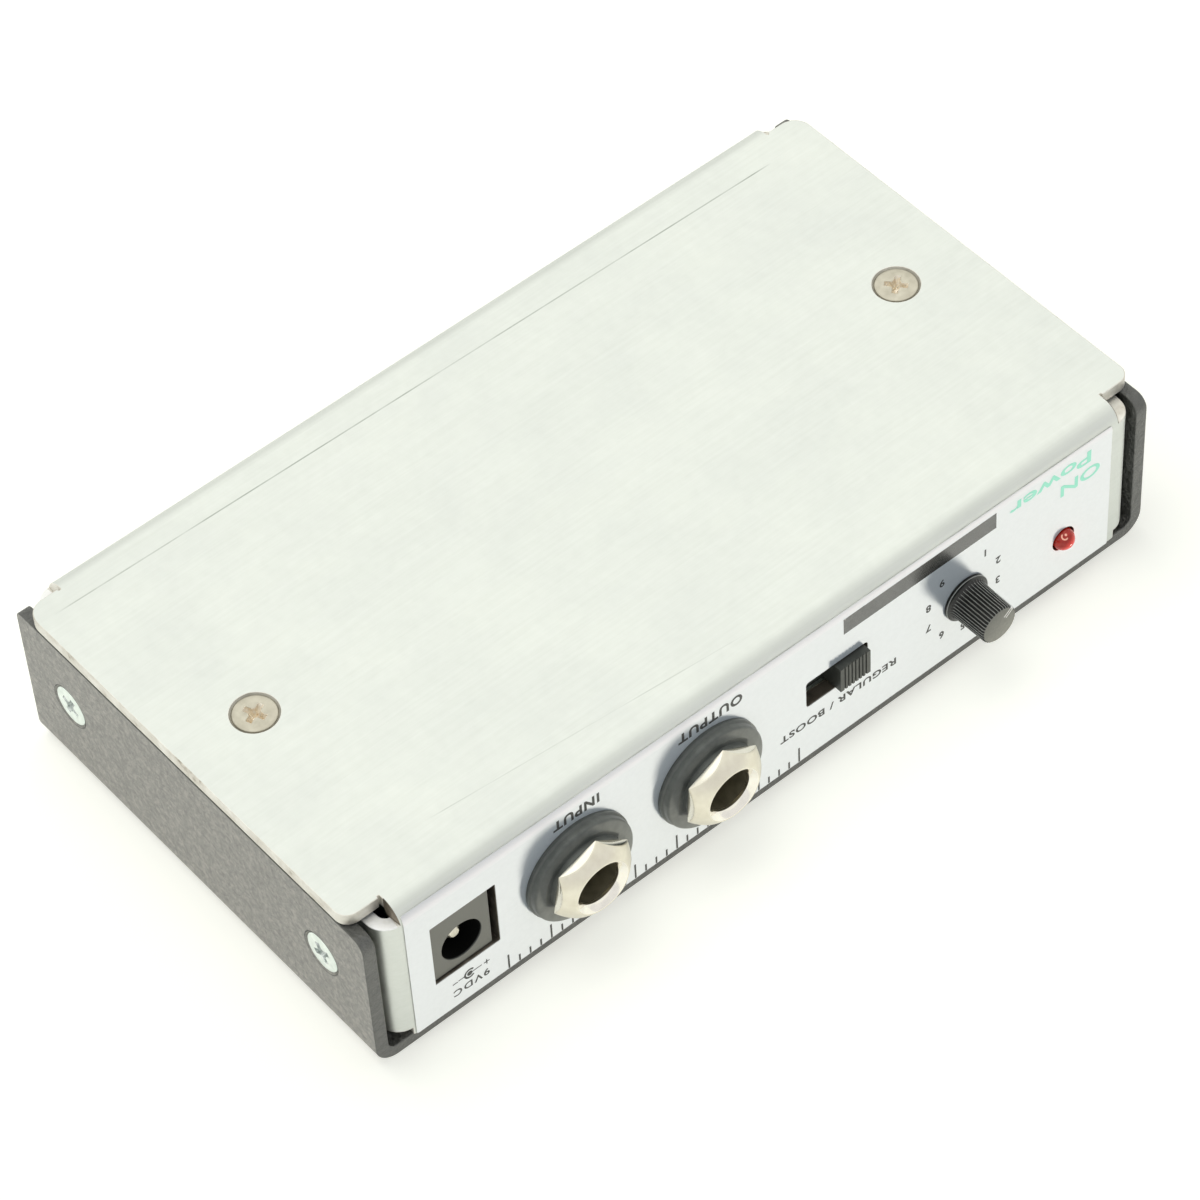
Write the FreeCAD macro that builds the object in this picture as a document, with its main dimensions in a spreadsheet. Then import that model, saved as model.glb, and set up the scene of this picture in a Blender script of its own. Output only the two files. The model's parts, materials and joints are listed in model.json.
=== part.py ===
import FreeCAD, Part
import collections
import math
import operator
import os

import Sketcher

# A small instrument preamplifier, lying on the flat of its black cover with the bare plate up.
# X runs along the box, the connector panel faces -Y, Z is up, and the origin is the middle of
# the face that the box lies on. Sizes are millimetres, and each one is written once, here.
# A share is a place along X as a part of the cover's length, and an inset is measured from an edge.
SIZES = {
    # Black cover: a flat with two end walls, folded from one sheet
    "cover_length": 130.0,
    "cover_depth": 70.6,
    "cover_height": 25.15,
    "cover_sheet": 1.9,
    "cover_bend": 3.3,
    "cover_front_corner": 2.0,
    "cover_back_corner": 1.2,
    # Bare chassis: plate, connector panel, back wall and four corner tabs, folded from one sheet
    "chassis_sheet": 1.85,
    "panel_proud": 0.4,
    "chassis_bend": 3.0,
    "ear_reach": 5.5,
    "plate_gap": 0.25,
    "ear_front_inset": 3.1,
    "ear_back_inset": 2.4,
    "ear_front_corner": 2.0,
    "ear_back_corner": 2.7,
    "notch_width": 0.3,
    "notch_depth": 0.3,
    "wall_lift": 0.2,
    "tab_front_gap": 0.85,
    "tab_end_gap": 0.05,
    "tab_reach": 14.7,
    "tab_lift": 1.5,
    "tab_drop": 2.35,
    "tab_root": 1.0,
    # Printed label on the connector panel
    "label_sheet": 0.12,
    "label_gap_left": 0.35,
    "label_gap_right": 1.25,
    "label_drop_left": 1.65,
    "label_drop_right": 2.5,
    # Countersunk cross-head screws
    "screw_size": 3.0,
    "screw_head": 5.9,
    "screw_rim": 0.2,
    "screw_hole_clearance": 0.1,
    "screw_thread_clearance": 0.02,
    "countersink": 6.4,
    "recess_span": 3.2,
    "recess_slot": 0.85,
    "recess_depth": 1.3,
    "cover_screw_length": 6.0,
    "cover_screw_inset": 9.4,
    "cover_screw_z": 14.3,
    "plate_screw_tail": 0.65,
    "plate_screw_inset": 11.5,
    "plate_screw_y": 0.2,
    # Circuit board and what hangs it under the plate
    "spacer_length": 3.55,
    "spacer_radius": 3.0,
    "board_sheet": 1.6,
    "board_end_gap": 1.5,
    "board_back_gap": 4.2,
    "board_front_gap": 0.5,
    "board_corner": 1.5,
    "board_nut_flats": 5.5,
    "board_nut_height": 2.4,
    "pin_tail": 1.3,
    "pin_clearance": 0.12,
    "wire_side": 0.5,
    "wire_bend": 0.8,
    # Power inlet
    "inlet_share": -0.39077,
    "inlet_axis_drop": 6.5,
    "inlet_width": 9.0,
    "inlet_height": 11.0,
    "inlet_recess": 0.25,
    "inlet_block_depth": 3.6,
    "inlet_depth": 14.2,
    "inlet_barrel_radius": 4.3,
    "inlet_bore_radius": 3.1,
    "inlet_bore_depth": 9.0,
    "inlet_pin_radius": 1.0,
    "inlet_pin_recess": 1.3,
    "inlet_shank_radius": 0.75,
    "inlet_pin_tip": 0.35,
    "inlet_gap_left": 0.2,
    "inlet_gap_right": 0.95,
    "inlet_gap_low": 0.2,
    "inlet_gap_high": 0.15,
    "inlet_spring_width": 2.0,
    "inlet_spring_sheet": 0.3,
    "inlet_spring_room": 0.2,
    "inlet_spring_start": 3.0,
    "inlet_spring_stop": 3.2,
    "inlet_terminal_sheet": 0.5,
    # Two plug sockets, with a black collar and a domed hexagon nut on each
    "input_share": -0.25231,
    "output_share": -0.08769,
    "jack_axis_drop": 6.85,
    "jack_width": 17.8,
    "jack_height": 13.85,
    "jack_depth": 25.4,
    "jack_corner": 1.5,
    "jack_nose_radius": 4.5,
    "plug_bore_radius": 3.2,
    "throat_length": 3.5,
    "chamber_width": 12.8,
    "chamber_length": 20.4,
    "chamber_floor": 2.0,
    "contact_width": 3.0,
    "contact_sheet": 0.4,
    "contact_press": 0.6,
    "contact_run": 7.5,
    "contact_rise": 1.9,
    "tip_contact_back": 24.0,
    "sleeve_contact_back": 11.4,
    "collar_radius": 8.15,
    "collar_height": 1.9,
    "collar_lip": 0.5,
    "collar_step": 0.25,
    "collar_shoulder": 0.55,
    "collar_dome_radius": 6.5,
    "collar_dome_drop": 0.4,
    "collar_boss_radius": 5.7,
    "collar_boss_height": 0.75,
    "nut_flats": 11.1,
    "nut_height": 2.45,
    "nut_dome": 7.45,
    "nut_dome_drop": 3.7,
    "nut_spigot_radius": 5.2,
    "nut_spigot_length": 4.25,
    "nut_spigot_gap": 0.15,
    "nut_thread_gap": 0.05,
    "nut_lip": 0.5,
    "nut_bevel": 0.8,
    "input_nut_turn": 20.0,
    "output_nut_turn": 26.5,
    # Slide switch
    "switch_share": 0.08,
    "switch_axis_drop": 5.9,
    "lever_width": 5.1,
    "lever_height": 4.3,
    "lever_stand": 1.2,
    "lever_travel": 4.2,
    "lever_end_gap": 0.55,
    "lever_side_gap": 0.22,
    "slot_corner": 0.5,
    "lever_rib_pitch": 0.6,
    "lever_rib_groove": 0.2,
    "lever_rib_depth": 0.15,
    "slider_length": 12.0,
    "slider_height": 5.9,
    "slider_sheet": 1.8,
    "slider_gap": 0.1,
    "shell_sheet": 0.4,
    "shell_depth": 5.6,
    "shell_leg": 1.6,
    "wafer_sheet": 1.2,
    "contact_head": 0.6,
    "contact_pitch": 4.2,
    "bridge_sheet": 0.4,
    # Small rotary control with its fluted knob
    "pot_share": 0.25,
    "pot_axis_drop": 8.35,
    "pot_width": 9.8,
    "pot_height": 9.8,
    "pot_plate": 1.0,
    "pot_case_depth": 6.4,
    "pot_nose_radius": 3.4,
    "pot_hole_gap": 0.1,
    "pot_nose_back": 0.1,
    "pot_shaft_radius": 2.0,
    "pot_shaft_gap": 0.05,
    "pot_leg": 1.6,
    "rotor_radius": 3.7,
    "rotor_sheet": 1.4,
    "rotor_room": 0.15,
    "wiper_radius": 3.2,
    "wiper_sheet": 0.2,
    "wiper_gap": 0.1,
    "track_sheet": 1.0,
    "knob_radius": 2.95,
    "knob_length": 6.4,
    "knob_gap": 0.12,
    "knob_skirt_radius": 3.6,
    "knob_skirt": 0.4,
    "knob_skirt_edge": 0.1,
    "knob_edge": 0.18,
    "knob_cap": 1.3,
    "flute_radius": 0.17,
    "flute_count": 38.0,
    # Indicator lamp
    "lamp_share": 0.385,
    "lamp_axis_drop": 10.75,
    "lamp_radius": 1.5,
    "lamp_flange_radius": 1.9,
    "lamp_flange": 1.0,
    "lamp_length": 5.3,
    "lamp_stand": 1.15,
    "lamp_hole_radius": 1.9,
    "lamp_leg_pitch": 2.54,
    "lamp_leg_run": 3.0,
    # Parts on the board
    "chip_share": 0.01538,
    "chip_inset": 21.65,
    "chip_length": 9.3,
    "chip_width": 6.4,
    "chip_height": 3.4,
    "chip_lift": 0.5,
    "chip_pitch": 2.54,
    "chip_row": 7.62,
    "chip_leg_sheet": 0.3,
    "can_radius": 3.15,
    "can_height": 11.0,
    "can_bead": 0.35,
    "can_pitch": 2.5,
    "can_row_share": 0.16923,
    "can_row_inset": 23.65,
    "can_row_step": 9.0,
    "film_length": 7.2,
    "film_width": 2.5,
    "film_height": 6.5,
    "film_pitch": 5.0,
    "film_row_share": -0.16923,
    "film_row_inset": 23.65,
    "film_row_step": 6.5,
    "film_corner": 0.4,
    "resistor_radius": 1.15,
    "resistor_waist": 0.95,
    "resistor_length": 6.3,
    "resistor_end": 1.3,
    "resistor_pitch": 10.16,
    "resistor_lift": 1.4,
    "resistor_row_share": -0.30769,
    "resistor_row_inset": 23.65,
    "resistor_row_step": 4.5,
    "diode_gap": 10.0,
    "diode_radius": 1.3,
    "diode_length": 5.0,
}

CAN_COUNT = 3
FILM_COUNT = 3
RESISTOR_COUNT = 5
CHIP_LEGS_A_SIDE = 4
LEVER_GROOVES = 7
FULL_TURN = 360.0
ROOM = 5.0
SMALLEST_CUT = 1e-4
ROUNDING = 0.8  # The share of a half width that the rounded corners of inner forms take
DOME_SHARE = 0.96  # The lens is rounded by nearly its radius, which leaves a small flat tip

OPERATIONS = {"+": operator.add, "-": operator.sub, "*": operator.mul, "/": operator.truediv}

Circle = collections.namedtuple("Circle", "x y radius")


class Size:
    """A length as it is now, with the spreadsheet expression that keeps it up to date."""

    def __init__(self, value, text):
        self.value = value
        self.text = text

    def __add__(self, other):
        return combined(self, "+", other)

    def __radd__(self, other):
        return combined(other, "+", self)

    def __sub__(self, other):
        return combined(self, "-", other)

    def __rsub__(self, other):
        return combined(other, "-", self)

    def __mul__(self, other):
        return combined(self, "*", other)

    def __rmul__(self, other):
        return combined(other, "*", self)

    def __truediv__(self, other):
        return combined(self, "/", other)

    def __neg__(self):
        return combined(0, "-", self)


def as_size(number):
    """A plain number as a Size; a Size stays as it is."""
    if isinstance(number, Size):
        return number
    return Size(float(number), repr(float(number)))


def combined(left, sign, right):
    """Two sizes joined by one arithmetic sign, in value and in expression."""
    left, right = as_size(left), as_size(right)
    value = OPERATIONS[sign](left.value, right.value)
    return Size(value, f"({left.text} {sign} {right.text})")


class Sheet:
    """Reads a driving dimension by its name, as a Size bound to its cell."""

    def __getattr__(self, name):
        return Size(SIZES[name], f"Sizes.{name}")


S = Sheet()
doc = FreeCAD.newDocument("preamplifier")


def fill_sheet():
    """One row a size: its name, and its number in a cell that carries the name as alias."""
    sheet = doc.addObject("Spreadsheet::Sheet", "Sizes")
    for row, (name, value) in enumerate(SIZES.items(), 1):
        sheet.set(f"A{row}", name)
        sheet.set(f"B{row}", str(value))
        sheet.setAlias(f"B{row}", name)
    doc.recompute()


def bind(thing, property_name, size):
    """Ties one property of a document object to the sheet."""
    thing.setExpression(property_name, as_size(size).text)


def place(thing, spot, turn=None):
    """Puts a finished piece at a spot, turned by a FreeCAD rotation."""
    numbers = [as_size(number).value for number in spot]
    thing.Placement = FreeCAD.Placement(FreeCAD.Vector(*numbers), turn or FreeCAD.Rotation())
    for axis, number in zip("xyz", spot):
        bind(thing, f"Placement.Base.{axis}", number)


def new_body(name):
    """An empty body whose label is the piece's name."""
    body = doc.addObject("PartDesign::Body", name)
    body.Label = name
    return body


# A sketch across one axis: the origin plane it lies in, and which way that plane's normal points
PLANES = {"x": ("YZ_Plane", 1), "y": ("XZ_Plane", -1), "z": ("XY_Plane", 1)}


def new_sketch(body, name, axis, offset):
    """A sketch square to an axis, moved by (sideways, up, along the normal)."""
    role, _ = PLANES[axis]
    plane = next(item for item in body.Origin.OriginFeatures if item.Role == role)
    sketch = body.newObject("Sketcher::SketchObject", name)
    sketch.AttachmentSupport = [(plane, "")]
    sketch.MapMode = "FlatFace"
    for letter, number in zip("xyz", offset):
        bind(sketch, f"AttachmentOffset.Base.{letter}", number)
    return sketch


def dimension(sketch, *constraint, size):
    """Adds one driving constraint and ties it to the sheet."""
    size = as_size(size)
    index = sketch.addConstraint(Sketcher.Constraint(*constraint, size.value))
    sketch.setExpression(f"Constraints[{index}]", size.text)


def pin_point(sketch, item, point, x, y):
    """Fixes one point of a sketch at (x, y) from the sketch's origin."""
    dimension(sketch, "DistanceX", -1, 1, item, point, size=x)
    dimension(sketch, "DistanceY", -1, 1, item, point, size=y)


def rounded_corner(before, corner, after, radius):
    """Tangent points and centre of an arc that rounds a corner, and whether it turns left."""
    back = (before - corner).normalize()
    on = (after - corner).normalize()
    half = back.getAngle(on) / 2
    reach = radius / math.tan(half)
    centre = corner + (back + on).normalize() * (radius / math.sin(half))
    left = (corner - before).cross(after - corner).z > 0
    return corner + back * reach, corner + on * reach, centre, left


def draw_outline(sketch, corners):
    """A closed outline through (x, y) or (x, y, radius) corners, each tied to the sheet."""
    corners = [tuple(corner) + (None,) * (3 - len(corner)) for corner in corners]
    points = [FreeCAD.Vector(as_size(x).value, as_size(y).value, 0) for x, y, _ in corners]
    count = len(corners)
    arrive, leave, arcs = list(points), list(points), {}
    for i, (_, _, radius) in enumerate(corners):
        if radius is not None:
            arc = rounded_corner(
                points[i - 1], points[i], points[(i + 1) % count], as_size(radius).value
            )
            arrive[i], leave[i], centre, left = arc
            arcs[i] = (centre, left)
    lines = [
        sketch.addGeometry(Part.LineSegment(leave[i], arrive[(i + 1) % count]), False)
        for i in range(count)
    ]
    for i, (x, y, radius) in enumerate(corners):
        line_in, line_out = lines[i - 1], lines[i]
        if radius is None:
            sketch.addConstraint(Sketcher.Constraint("Coincident", line_in, 2, line_out, 1))
            pin_point(sketch, line_out, 1, x, y)
            continue
        centre, left = arcs[i]
        first, last = (arrive[i], leave[i]) if left else (leave[i], arrive[i])
        angles = [math.atan2(p.y - centre.y, p.x - centre.x) for p in (first, last)]
        if angles[1] < angles[0]:
            angles[1] += 2 * math.pi
        circle = Part.Circle(centre, FreeCAD.Vector(0, 0, 1), as_size(radius).value)
        arc = sketch.addGeometry(Part.ArcOfCircle(circle, *angles), False)
        corner = sketch.addGeometry(Part.Point(points[i]), True)
        pin_point(sketch, corner, 1, x, y)
        for line in (line_in, line_out):
            sketch.addConstraint(Sketcher.Constraint("PointOnObject", corner, 1, line))
        start, end = (1, 2) if left else (2, 1)
        sketch.addConstraint(Sketcher.Constraint("Tangent", line_in, 2, arc, start))
        sketch.addConstraint(Sketcher.Constraint("Tangent", line_out, 1, arc, end))
        dimension(sketch, "Radius", arc, size=radius)


def draw(sketch, shapes):
    """Draws circles and outlines into one sketch."""
    for shape in shapes:
        if isinstance(shape, Circle):
            circle = Part.Circle(
                FreeCAD.Vector(as_size(shape.x).value, as_size(shape.y).value, 0),
                FreeCAD.Vector(0, 0, 1),
                as_size(shape.radius).value,
            )
            item = sketch.addGeometry(circle, False)
            pin_point(sketch, item, 3, shape.x, shape.y)
            dimension(sketch, "Radius", item, size=shape.radius)
        else:
            draw_outline(sketch, shape)


def rectangle(left, right, low, high, radius=None):
    """The corners of a rectangle, rounded when a radius is given."""
    corners = [(left, low), (right, low), (right, high), (left, high)]
    return corners if radius is None else [corner + (radius,) for corner in corners]


def extruded(kind, body, name, axis, shapes, low, high):
    """Pads or pockets shapes between two places along an axis of the body."""
    _, normal = PLANES[axis]
    start = low if normal > 0 else -high
    sketch = new_sketch(body, name + "_sketch", axis, (0, 0, start))
    draw(sketch, shapes)
    feature = body.newObject(kind, name)
    feature.Profile = sketch
    bind(feature, "Length", high - low)
    return feature


def block(body, name, axis, shapes, low, high):
    """Adds shapes as solid between two places along an axis."""
    return extruded("PartDesign::Pad", body, name, axis, shapes, low, high)


def cut(body, name, axis, shapes, low, high):
    """Takes shapes away between two places along an axis."""
    pocket = extruded("PartDesign::Pocket", body, name, axis, shapes, low, high)
    pocket.Reversed = True
    return pocket


def turned(body, name, corners):
    """Revolves an outline of (radius, height) corners about the body's Z axis."""
    sketch = new_sketch(body, name + "_sketch", "y", (0, 0, 0))
    draw_outline(sketch, corners)
    feature = body.newObject("PartDesign::Revolution", name)
    feature.Profile = sketch
    feature.ReferenceAxis = (sketch, ["V_Axis"])
    feature.Angle = FULL_TURN
    return feature


def bored(body, name, spot, corners, axis_name):
    """Turns an outline away about the sketch's own axis, at a spot (x, y, z) of the body."""
    x, y, z = spot
    sketch = new_sketch(body, name + "_sketch", "y", (x, z, -y))
    draw_outline(sketch, corners)
    feature = body.newObject("PartDesign::Groove", name)
    feature.Profile = sketch
    feature.ReferenceAxis = (sketch, [axis_name])
    feature.Angle = FULL_TURN
    return feature


def group(name, pieces):
    """Several separate solids kept under one name."""
    compound = doc.addObject("Part::Compound", name)
    compound.Label = name
    compound.Links = pieces
    return compound


FACE_FRONT = FreeCAD.Rotation(FreeCAD.Vector(1, 0, 0), 90)
FACE_RIGHT = FreeCAD.Rotation(FreeCAD.Vector(0, 1, 0), 90)
FACE_LEFT = FreeCAD.Rotation(FreeCAD.Vector(0, 1, 0), -90)

# Places that several pieces share
PLATE_TOP = S.cover_height + S.plate_gap + S.chassis_sheet
PLATE_UNDER = PLATE_TOP - S.chassis_sheet
WALL_FOOT = S.cover_sheet + S.wall_lift
PANEL_FRONT = -S.cover_depth / 2 - S.panel_proud
PANEL_BACK = PANEL_FRONT + S.chassis_sheet
LABEL_FRONT = PANEL_FRONT - S.label_sheet
BOARD_TOP = PLATE_UNDER - S.spacer_length
BOARD_FACE = BOARD_TOP - S.board_sheet
PIN_END = BOARD_TOP + S.pin_tail
BOARD_FRONT = PANEL_BACK + S.board_front_gap
BOARD_BACK = -PANEL_BACK - S.board_back_gap
HALF_FOLD = S.cover_length / 2 - S.ear_reach
HOLE_RADIUS = S.screw_size / 2 + S.screw_hole_clearance
COVER_SCREW_Y = S.cover_depth / 2 - S.cover_screw_inset
PLATE_SCREW_X = S.cover_length / 2 - S.plate_screw_inset
INLET_X = S.cover_length * S.inlet_share
INPUT_X = S.cover_length * S.input_share
OUTPUT_X = S.cover_length * S.output_share
SWITCH_X = S.cover_length * S.switch_share
POT_X = S.cover_length * S.pot_share
LAMP_X = S.cover_length * S.lamp_share
CHIP_X, CHIP_Y = S.cover_length * S.chip_share, BOARD_BACK - S.chip_inset
DIODE_Y = CHIP_Y + S.diode_gap
SPRING_END = S.inlet_depth - S.inlet_spring_stop
INLET_Z = BOARD_FACE - S.inlet_axis_drop
JACK_Z = BOARD_FACE - S.jack_axis_drop
SWITCH_Z = BOARD_FACE - S.switch_axis_drop
POT_Z = BOARD_FACE - S.pot_axis_drop
LAMP_Z = BOARD_FACE - S.lamp_axis_drop
WIRE_HOLE = S.wire_side / 2 * math.sqrt(2) + S.pin_clearance
LEG_HOLE = S.shell_leg / 2 + S.pin_clearance
SPIGOT_HOLE = S.nut_spigot_radius + S.nut_spigot_gap


def countersink(face):
    """Section of a countersunk hole whose face lies at this place, as (radius, depth) corners."""
    sink = S.countersink / 2
    return [
        (0, face),
        (sink, face),
        (HOLE_RADIUS, face - (sink - HOLE_RADIUS)),
        (HOLE_RADIUS, face - S.cover_sheet - S.chassis_sheet),
        (0, face - S.cover_sheet - S.chassis_sheet),
    ]


def panel_openings():
    """The holes that the chassis panel and its label share, as seen along Y."""
    slot_x = S.lever_width / 2 + S.lever_travel / 2 + S.lever_end_gap
    slot_z = S.lever_height / 2 + S.lever_side_gap
    half = S.inlet_width / 2
    foot = BOARD_FACE - S.inlet_height
    return [
        rectangle(
            INLET_X - half - S.inlet_gap_left,
            INLET_X + half + S.inlet_gap_right,
            foot - S.inlet_gap_low,
            BOARD_FACE + S.inlet_gap_high,
        ),
        Circle(INPUT_X, JACK_Z, SPIGOT_HOLE),
        Circle(OUTPUT_X, JACK_Z, SPIGOT_HOLE),
        rectangle(
            SWITCH_X - slot_x,
            SWITCH_X + slot_x,
            SWITCH_Z - slot_z,
            SWITCH_Z + slot_z,
            S.slot_corner,
        ),
        Circle(POT_X, POT_Z, S.pot_nose_radius + S.pot_hole_gap),
        Circle(LAMP_X, LAMP_Z, S.lamp_hole_radius),
    ]


def bottom_chassis():
    """Bare sheet: the plate with four ears, the panel, the back wall and the corner tabs."""
    body = new_body("bottom_chassis")
    sheet, bend = S.chassis_sheet, S.chassis_bend
    outer, inner = -PANEL_FRONT, -PANEL_BACK
    folded = [
        (-outer, WALL_FOOT),
        (-outer, PLATE_TOP, bend),
        (outer, PLATE_TOP, bend),
        (outer, WALL_FOOT),
        (inner, WALL_FOOT),
        (inner, PLATE_UNDER, bend - sheet),
        (-inner, PLATE_UNDER, bend - sheet),
        (-inner, WALL_FOOT),
    ]
    block(body, "folded_sheet", "x", [folded], -HALF_FOLD, HALF_FOLD)
    half_length = S.cover_length / 2
    ear_front, ear_back = S.ear_front_inset - S.cover_depth / 2, S.cover_depth / 2 - S.ear_back_inset
    ears = [
        (-half_length, ear_front, S.ear_front_corner), (half_length, ear_front, S.ear_front_corner),
        (half_length, ear_back, S.ear_back_corner), (-half_length, ear_back, S.ear_back_corner),
    ]
    block(body, "ears", "z", [ears], PLATE_UNDER, PLATE_TOP)
    notches = [
        rectangle(*sorted_pair(side, HALF_FOLD, HALF_FOLD + S.notch_width),
                  *sorted_pair(face, edge - S.notch_depth, edge + ROOM))
        for side in (-1, 1)
        for face, edge in ((-1, -ear_front), (1, ear_back))
    ]
    cut(body, "bend_relief", "z", notches, PLATE_UNDER, PLATE_TOP)
    root = HALF_FOLD - S.tab_root
    wall = half_length - S.cover_sheet
    corner, tip = wall - S.tab_front_gap, wall - S.tab_end_gap
    end = outer - S.tab_reach
    tab = [
        (root, outer),
        (corner, outer, bend),
        (tip, end),
        (tip - sheet, end),
        (corner - sheet, inner, bend - sheet),
        (root, inner),
    ]
    for number, (side, face) in enumerate([(-1, -1), (1, -1), (1, 1), (-1, 1)], 1):
        shape = [(side * spot[0], face * spot[1], *spot[2:]) for spot in tab]
        low, high = WALL_FOOT + S.tab_lift, PLATE_TOP - S.tab_drop
        block(body, f"corner_tab_{number}", "z", [shape], low, high)
    cut(body, "panel_openings", "y", panel_openings(), PANEL_FRONT - sheet, PANEL_BACK + sheet)
    threads = [
        Circle(face * COVER_SCREW_Y, S.cover_screw_z, S.screw_size / 2 + S.screw_thread_clearance)
        for face in (-1, 1)
    ]
    cut(body, "tab_threads", "x", threads, -half_length, half_length)
    for number, side in enumerate((-1, 1), 1):
        spot = (side * PLATE_SCREW_X, S.plate_screw_y, 0)
        bored(body, f"plate_countersink_{number}", spot, countersink(PLATE_TOP), "V_Axis")
    return body


def sorted_pair(side, near, far):
    """Two places on one side of the middle, lower one first."""
    return (near, far) if side > 0 else (-far, -near)


def top_cover():
    """Black folded sheet: the flat that the box lies on here, and both end walls."""
    body = new_body("top_cover")
    half, sheet, bend = S.cover_length / 2, S.cover_sheet, S.cover_bend
    tall = S.cover_height
    folded = [
        (-half, tall),
        (-half, 0, bend),
        (half, 0, bend),
        (half, tall),
        (half - sheet, tall),
        (half - sheet, sheet, bend - sheet),
        (-half + sheet, sheet, bend - sheet),
        (-half + sheet, tall),
    ]
    half_depth = S.cover_depth / 2
    block(body, "folded_sheet", "y", [folded], -half_depth, half_depth)
    for name, side, radius in (
        ("front", -1, S.cover_front_corner),
        ("back", 1, S.cover_back_corner),
    ):
        edge = side * half_depth
        shape = [
            (edge + side * ROOM, tall + ROOM),
            (edge - side * 2 * radius, tall + ROOM),
            (edge - side * 2 * radius, tall),
            (edge, tall, radius),
            (edge, tall - 2 * radius),
            (edge + side * ROOM, tall - 2 * radius),
        ]
        cut(body, f"{name}_corners", "x", [shape], -half - ROOM, half + ROOM)
    for number, (side, face) in enumerate([(-1, -1), (-1, 1), (1, -1), (1, 1)], 1):
        spot = (0, face * COVER_SCREW_Y, S.cover_screw_z)
        section = [(side * depth, radius) for radius, depth in countersink(half)]
        bored(body, f"end_countersink_{number}", spot, section, "H_Axis")
    return body


def panel_label():
    """Thin printed sticker that covers the panel and runs onto the start of the bend."""
    body = new_body("panel_label")
    face, skin, bend = PANEL_FRONT, S.label_sheet, S.chassis_bend
    left, right = S.label_gap_left - HALF_FOLD, HALF_FOLD - S.label_gap_right
    strip = [
        (face, WALL_FOOT),
        (face, PLATE_TOP, bend),
        (face + 2 * bend, PLATE_TOP),
        (face + 2 * bend, PLATE_TOP + skin),
        (face - skin, PLATE_TOP + skin, bend + skin),
        (face - skin, WALL_FOOT),
    ]
    block(body, "strip", "x", [strip], left, right)
    above = [
        (left - ROOM, PLATE_TOP - S.label_drop_left),
        (right + ROOM, PLATE_TOP - S.label_drop_right),
        (right + ROOM, PLATE_TOP + ROOM),
        (left - ROOM, PLATE_TOP + ROOM),
    ]
    cut(body, "top_edge", "y", [above], face - ROOM, face + ROOM + 2 * bend)
    cut(body, "openings", "y", panel_openings(), face - ROOM, face + ROOM)
    return body


def cross_screw(name, length, spot, turn):
    """Countersunk screw with a cross recess, its head's face at the body's origin."""
    body = new_body(name)
    head, core = S.screw_head / 2, S.screw_size / 2
    turned(body, name + "_turned", [
        (0, 0),
        (head, 0),
        (head, -S.screw_rim),
        (core, -S.screw_rim - (head - core)),
        (core, -length),
        (0, -length),
    ])
    arm, slot = S.recess_span / 2, S.recess_slot / 2
    cross = [
        (slot, slot), (slot, arm), (-slot, arm), (-slot, slot), (-arm, slot), (-arm, -slot),
        (-slot, -slot), (-slot, -arm), (slot, -arm), (slot, -slot), (arm, -slot), (arm, slot),
    ]
    cut(body, name + "_recess", "z", [cross], -S.recess_depth, as_size(0))
    place(body, spot, turn)
    return body


def cover_screws():
    """Four screws that draw the cover's end walls onto the chassis tabs."""
    sunk = (S.countersink - S.screw_head) / 2
    face = S.cover_length / 2 - sunk + S.screw_rim
    screws = []
    for side, turn in ((-1, FACE_LEFT), (1, FACE_RIGHT)):
        for row in (-1, 1):
            spot = (side * face, row * COVER_SCREW_Y, S.cover_screw_z)
            name = f"cover_screw_{len(screws) + 1}"
            screws.append(cross_screw(name, S.cover_screw_length, spot, turn))
    return group("cover_screws", screws)


def plate_screws():
    """Two screws through the plate, the spacers, the board and its nuts."""
    sunk = (S.countersink - S.screw_head) / 2
    face = PLATE_TOP - sunk + S.screw_rim
    length = face - BOARD_FACE + S.board_nut_height + S.plate_screw_tail
    screws = [
        cross_screw(
            f"plate_screw_{number}", length, (side * PLATE_SCREW_X, S.plate_screw_y, face), None
        )
        for number, side in enumerate((-1, 1), 1)
    ]
    return group("plate_screws", screws)


def board_spacers():
    """Two round spacers that hang the board under the plate."""
    spacers = []
    for number, side in enumerate((-1, 1), 1):
        body = new_body(f"board_spacer_{number}")
        turned(body, f"spacer_{number}", [
            (HOLE_RADIUS, 0),
            (S.spacer_radius, 0),
            (S.spacer_radius, S.spacer_length),
            (HOLE_RADIUS, S.spacer_length),
        ])
        place(body, (side * PLATE_SCREW_X, S.plate_screw_y, BOARD_TOP))
        spacers.append(body)
    return group("board_spacers", spacers)


def prism(name, flats, height):
    """Hexagonal prism with the given width across its flats."""
    solid = doc.addObject("Part::Prism", name)
    solid.Polygon = 6
    bind(solid, "Circumradius", flats / math.sqrt(3))
    bind(solid, "Height", height)
    return solid


def cylinder(name, radius, height, foot=0):
    """Upright cylinder that starts at a height."""
    solid = doc.addObject("Part::Cylinder", name)
    bind(solid, "Radius", radius)
    bind(solid, "Height", height)
    bind(solid, "Placement.Base.z", foot)
    return solid


def boolean(kind, name, base, tool):
    """One boolean of two solids: Part::Cut, Part::Fuse or Part::Common."""
    solid = doc.addObject(kind, name)
    solid.Base = base
    solid.Tool = tool
    return solid


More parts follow.
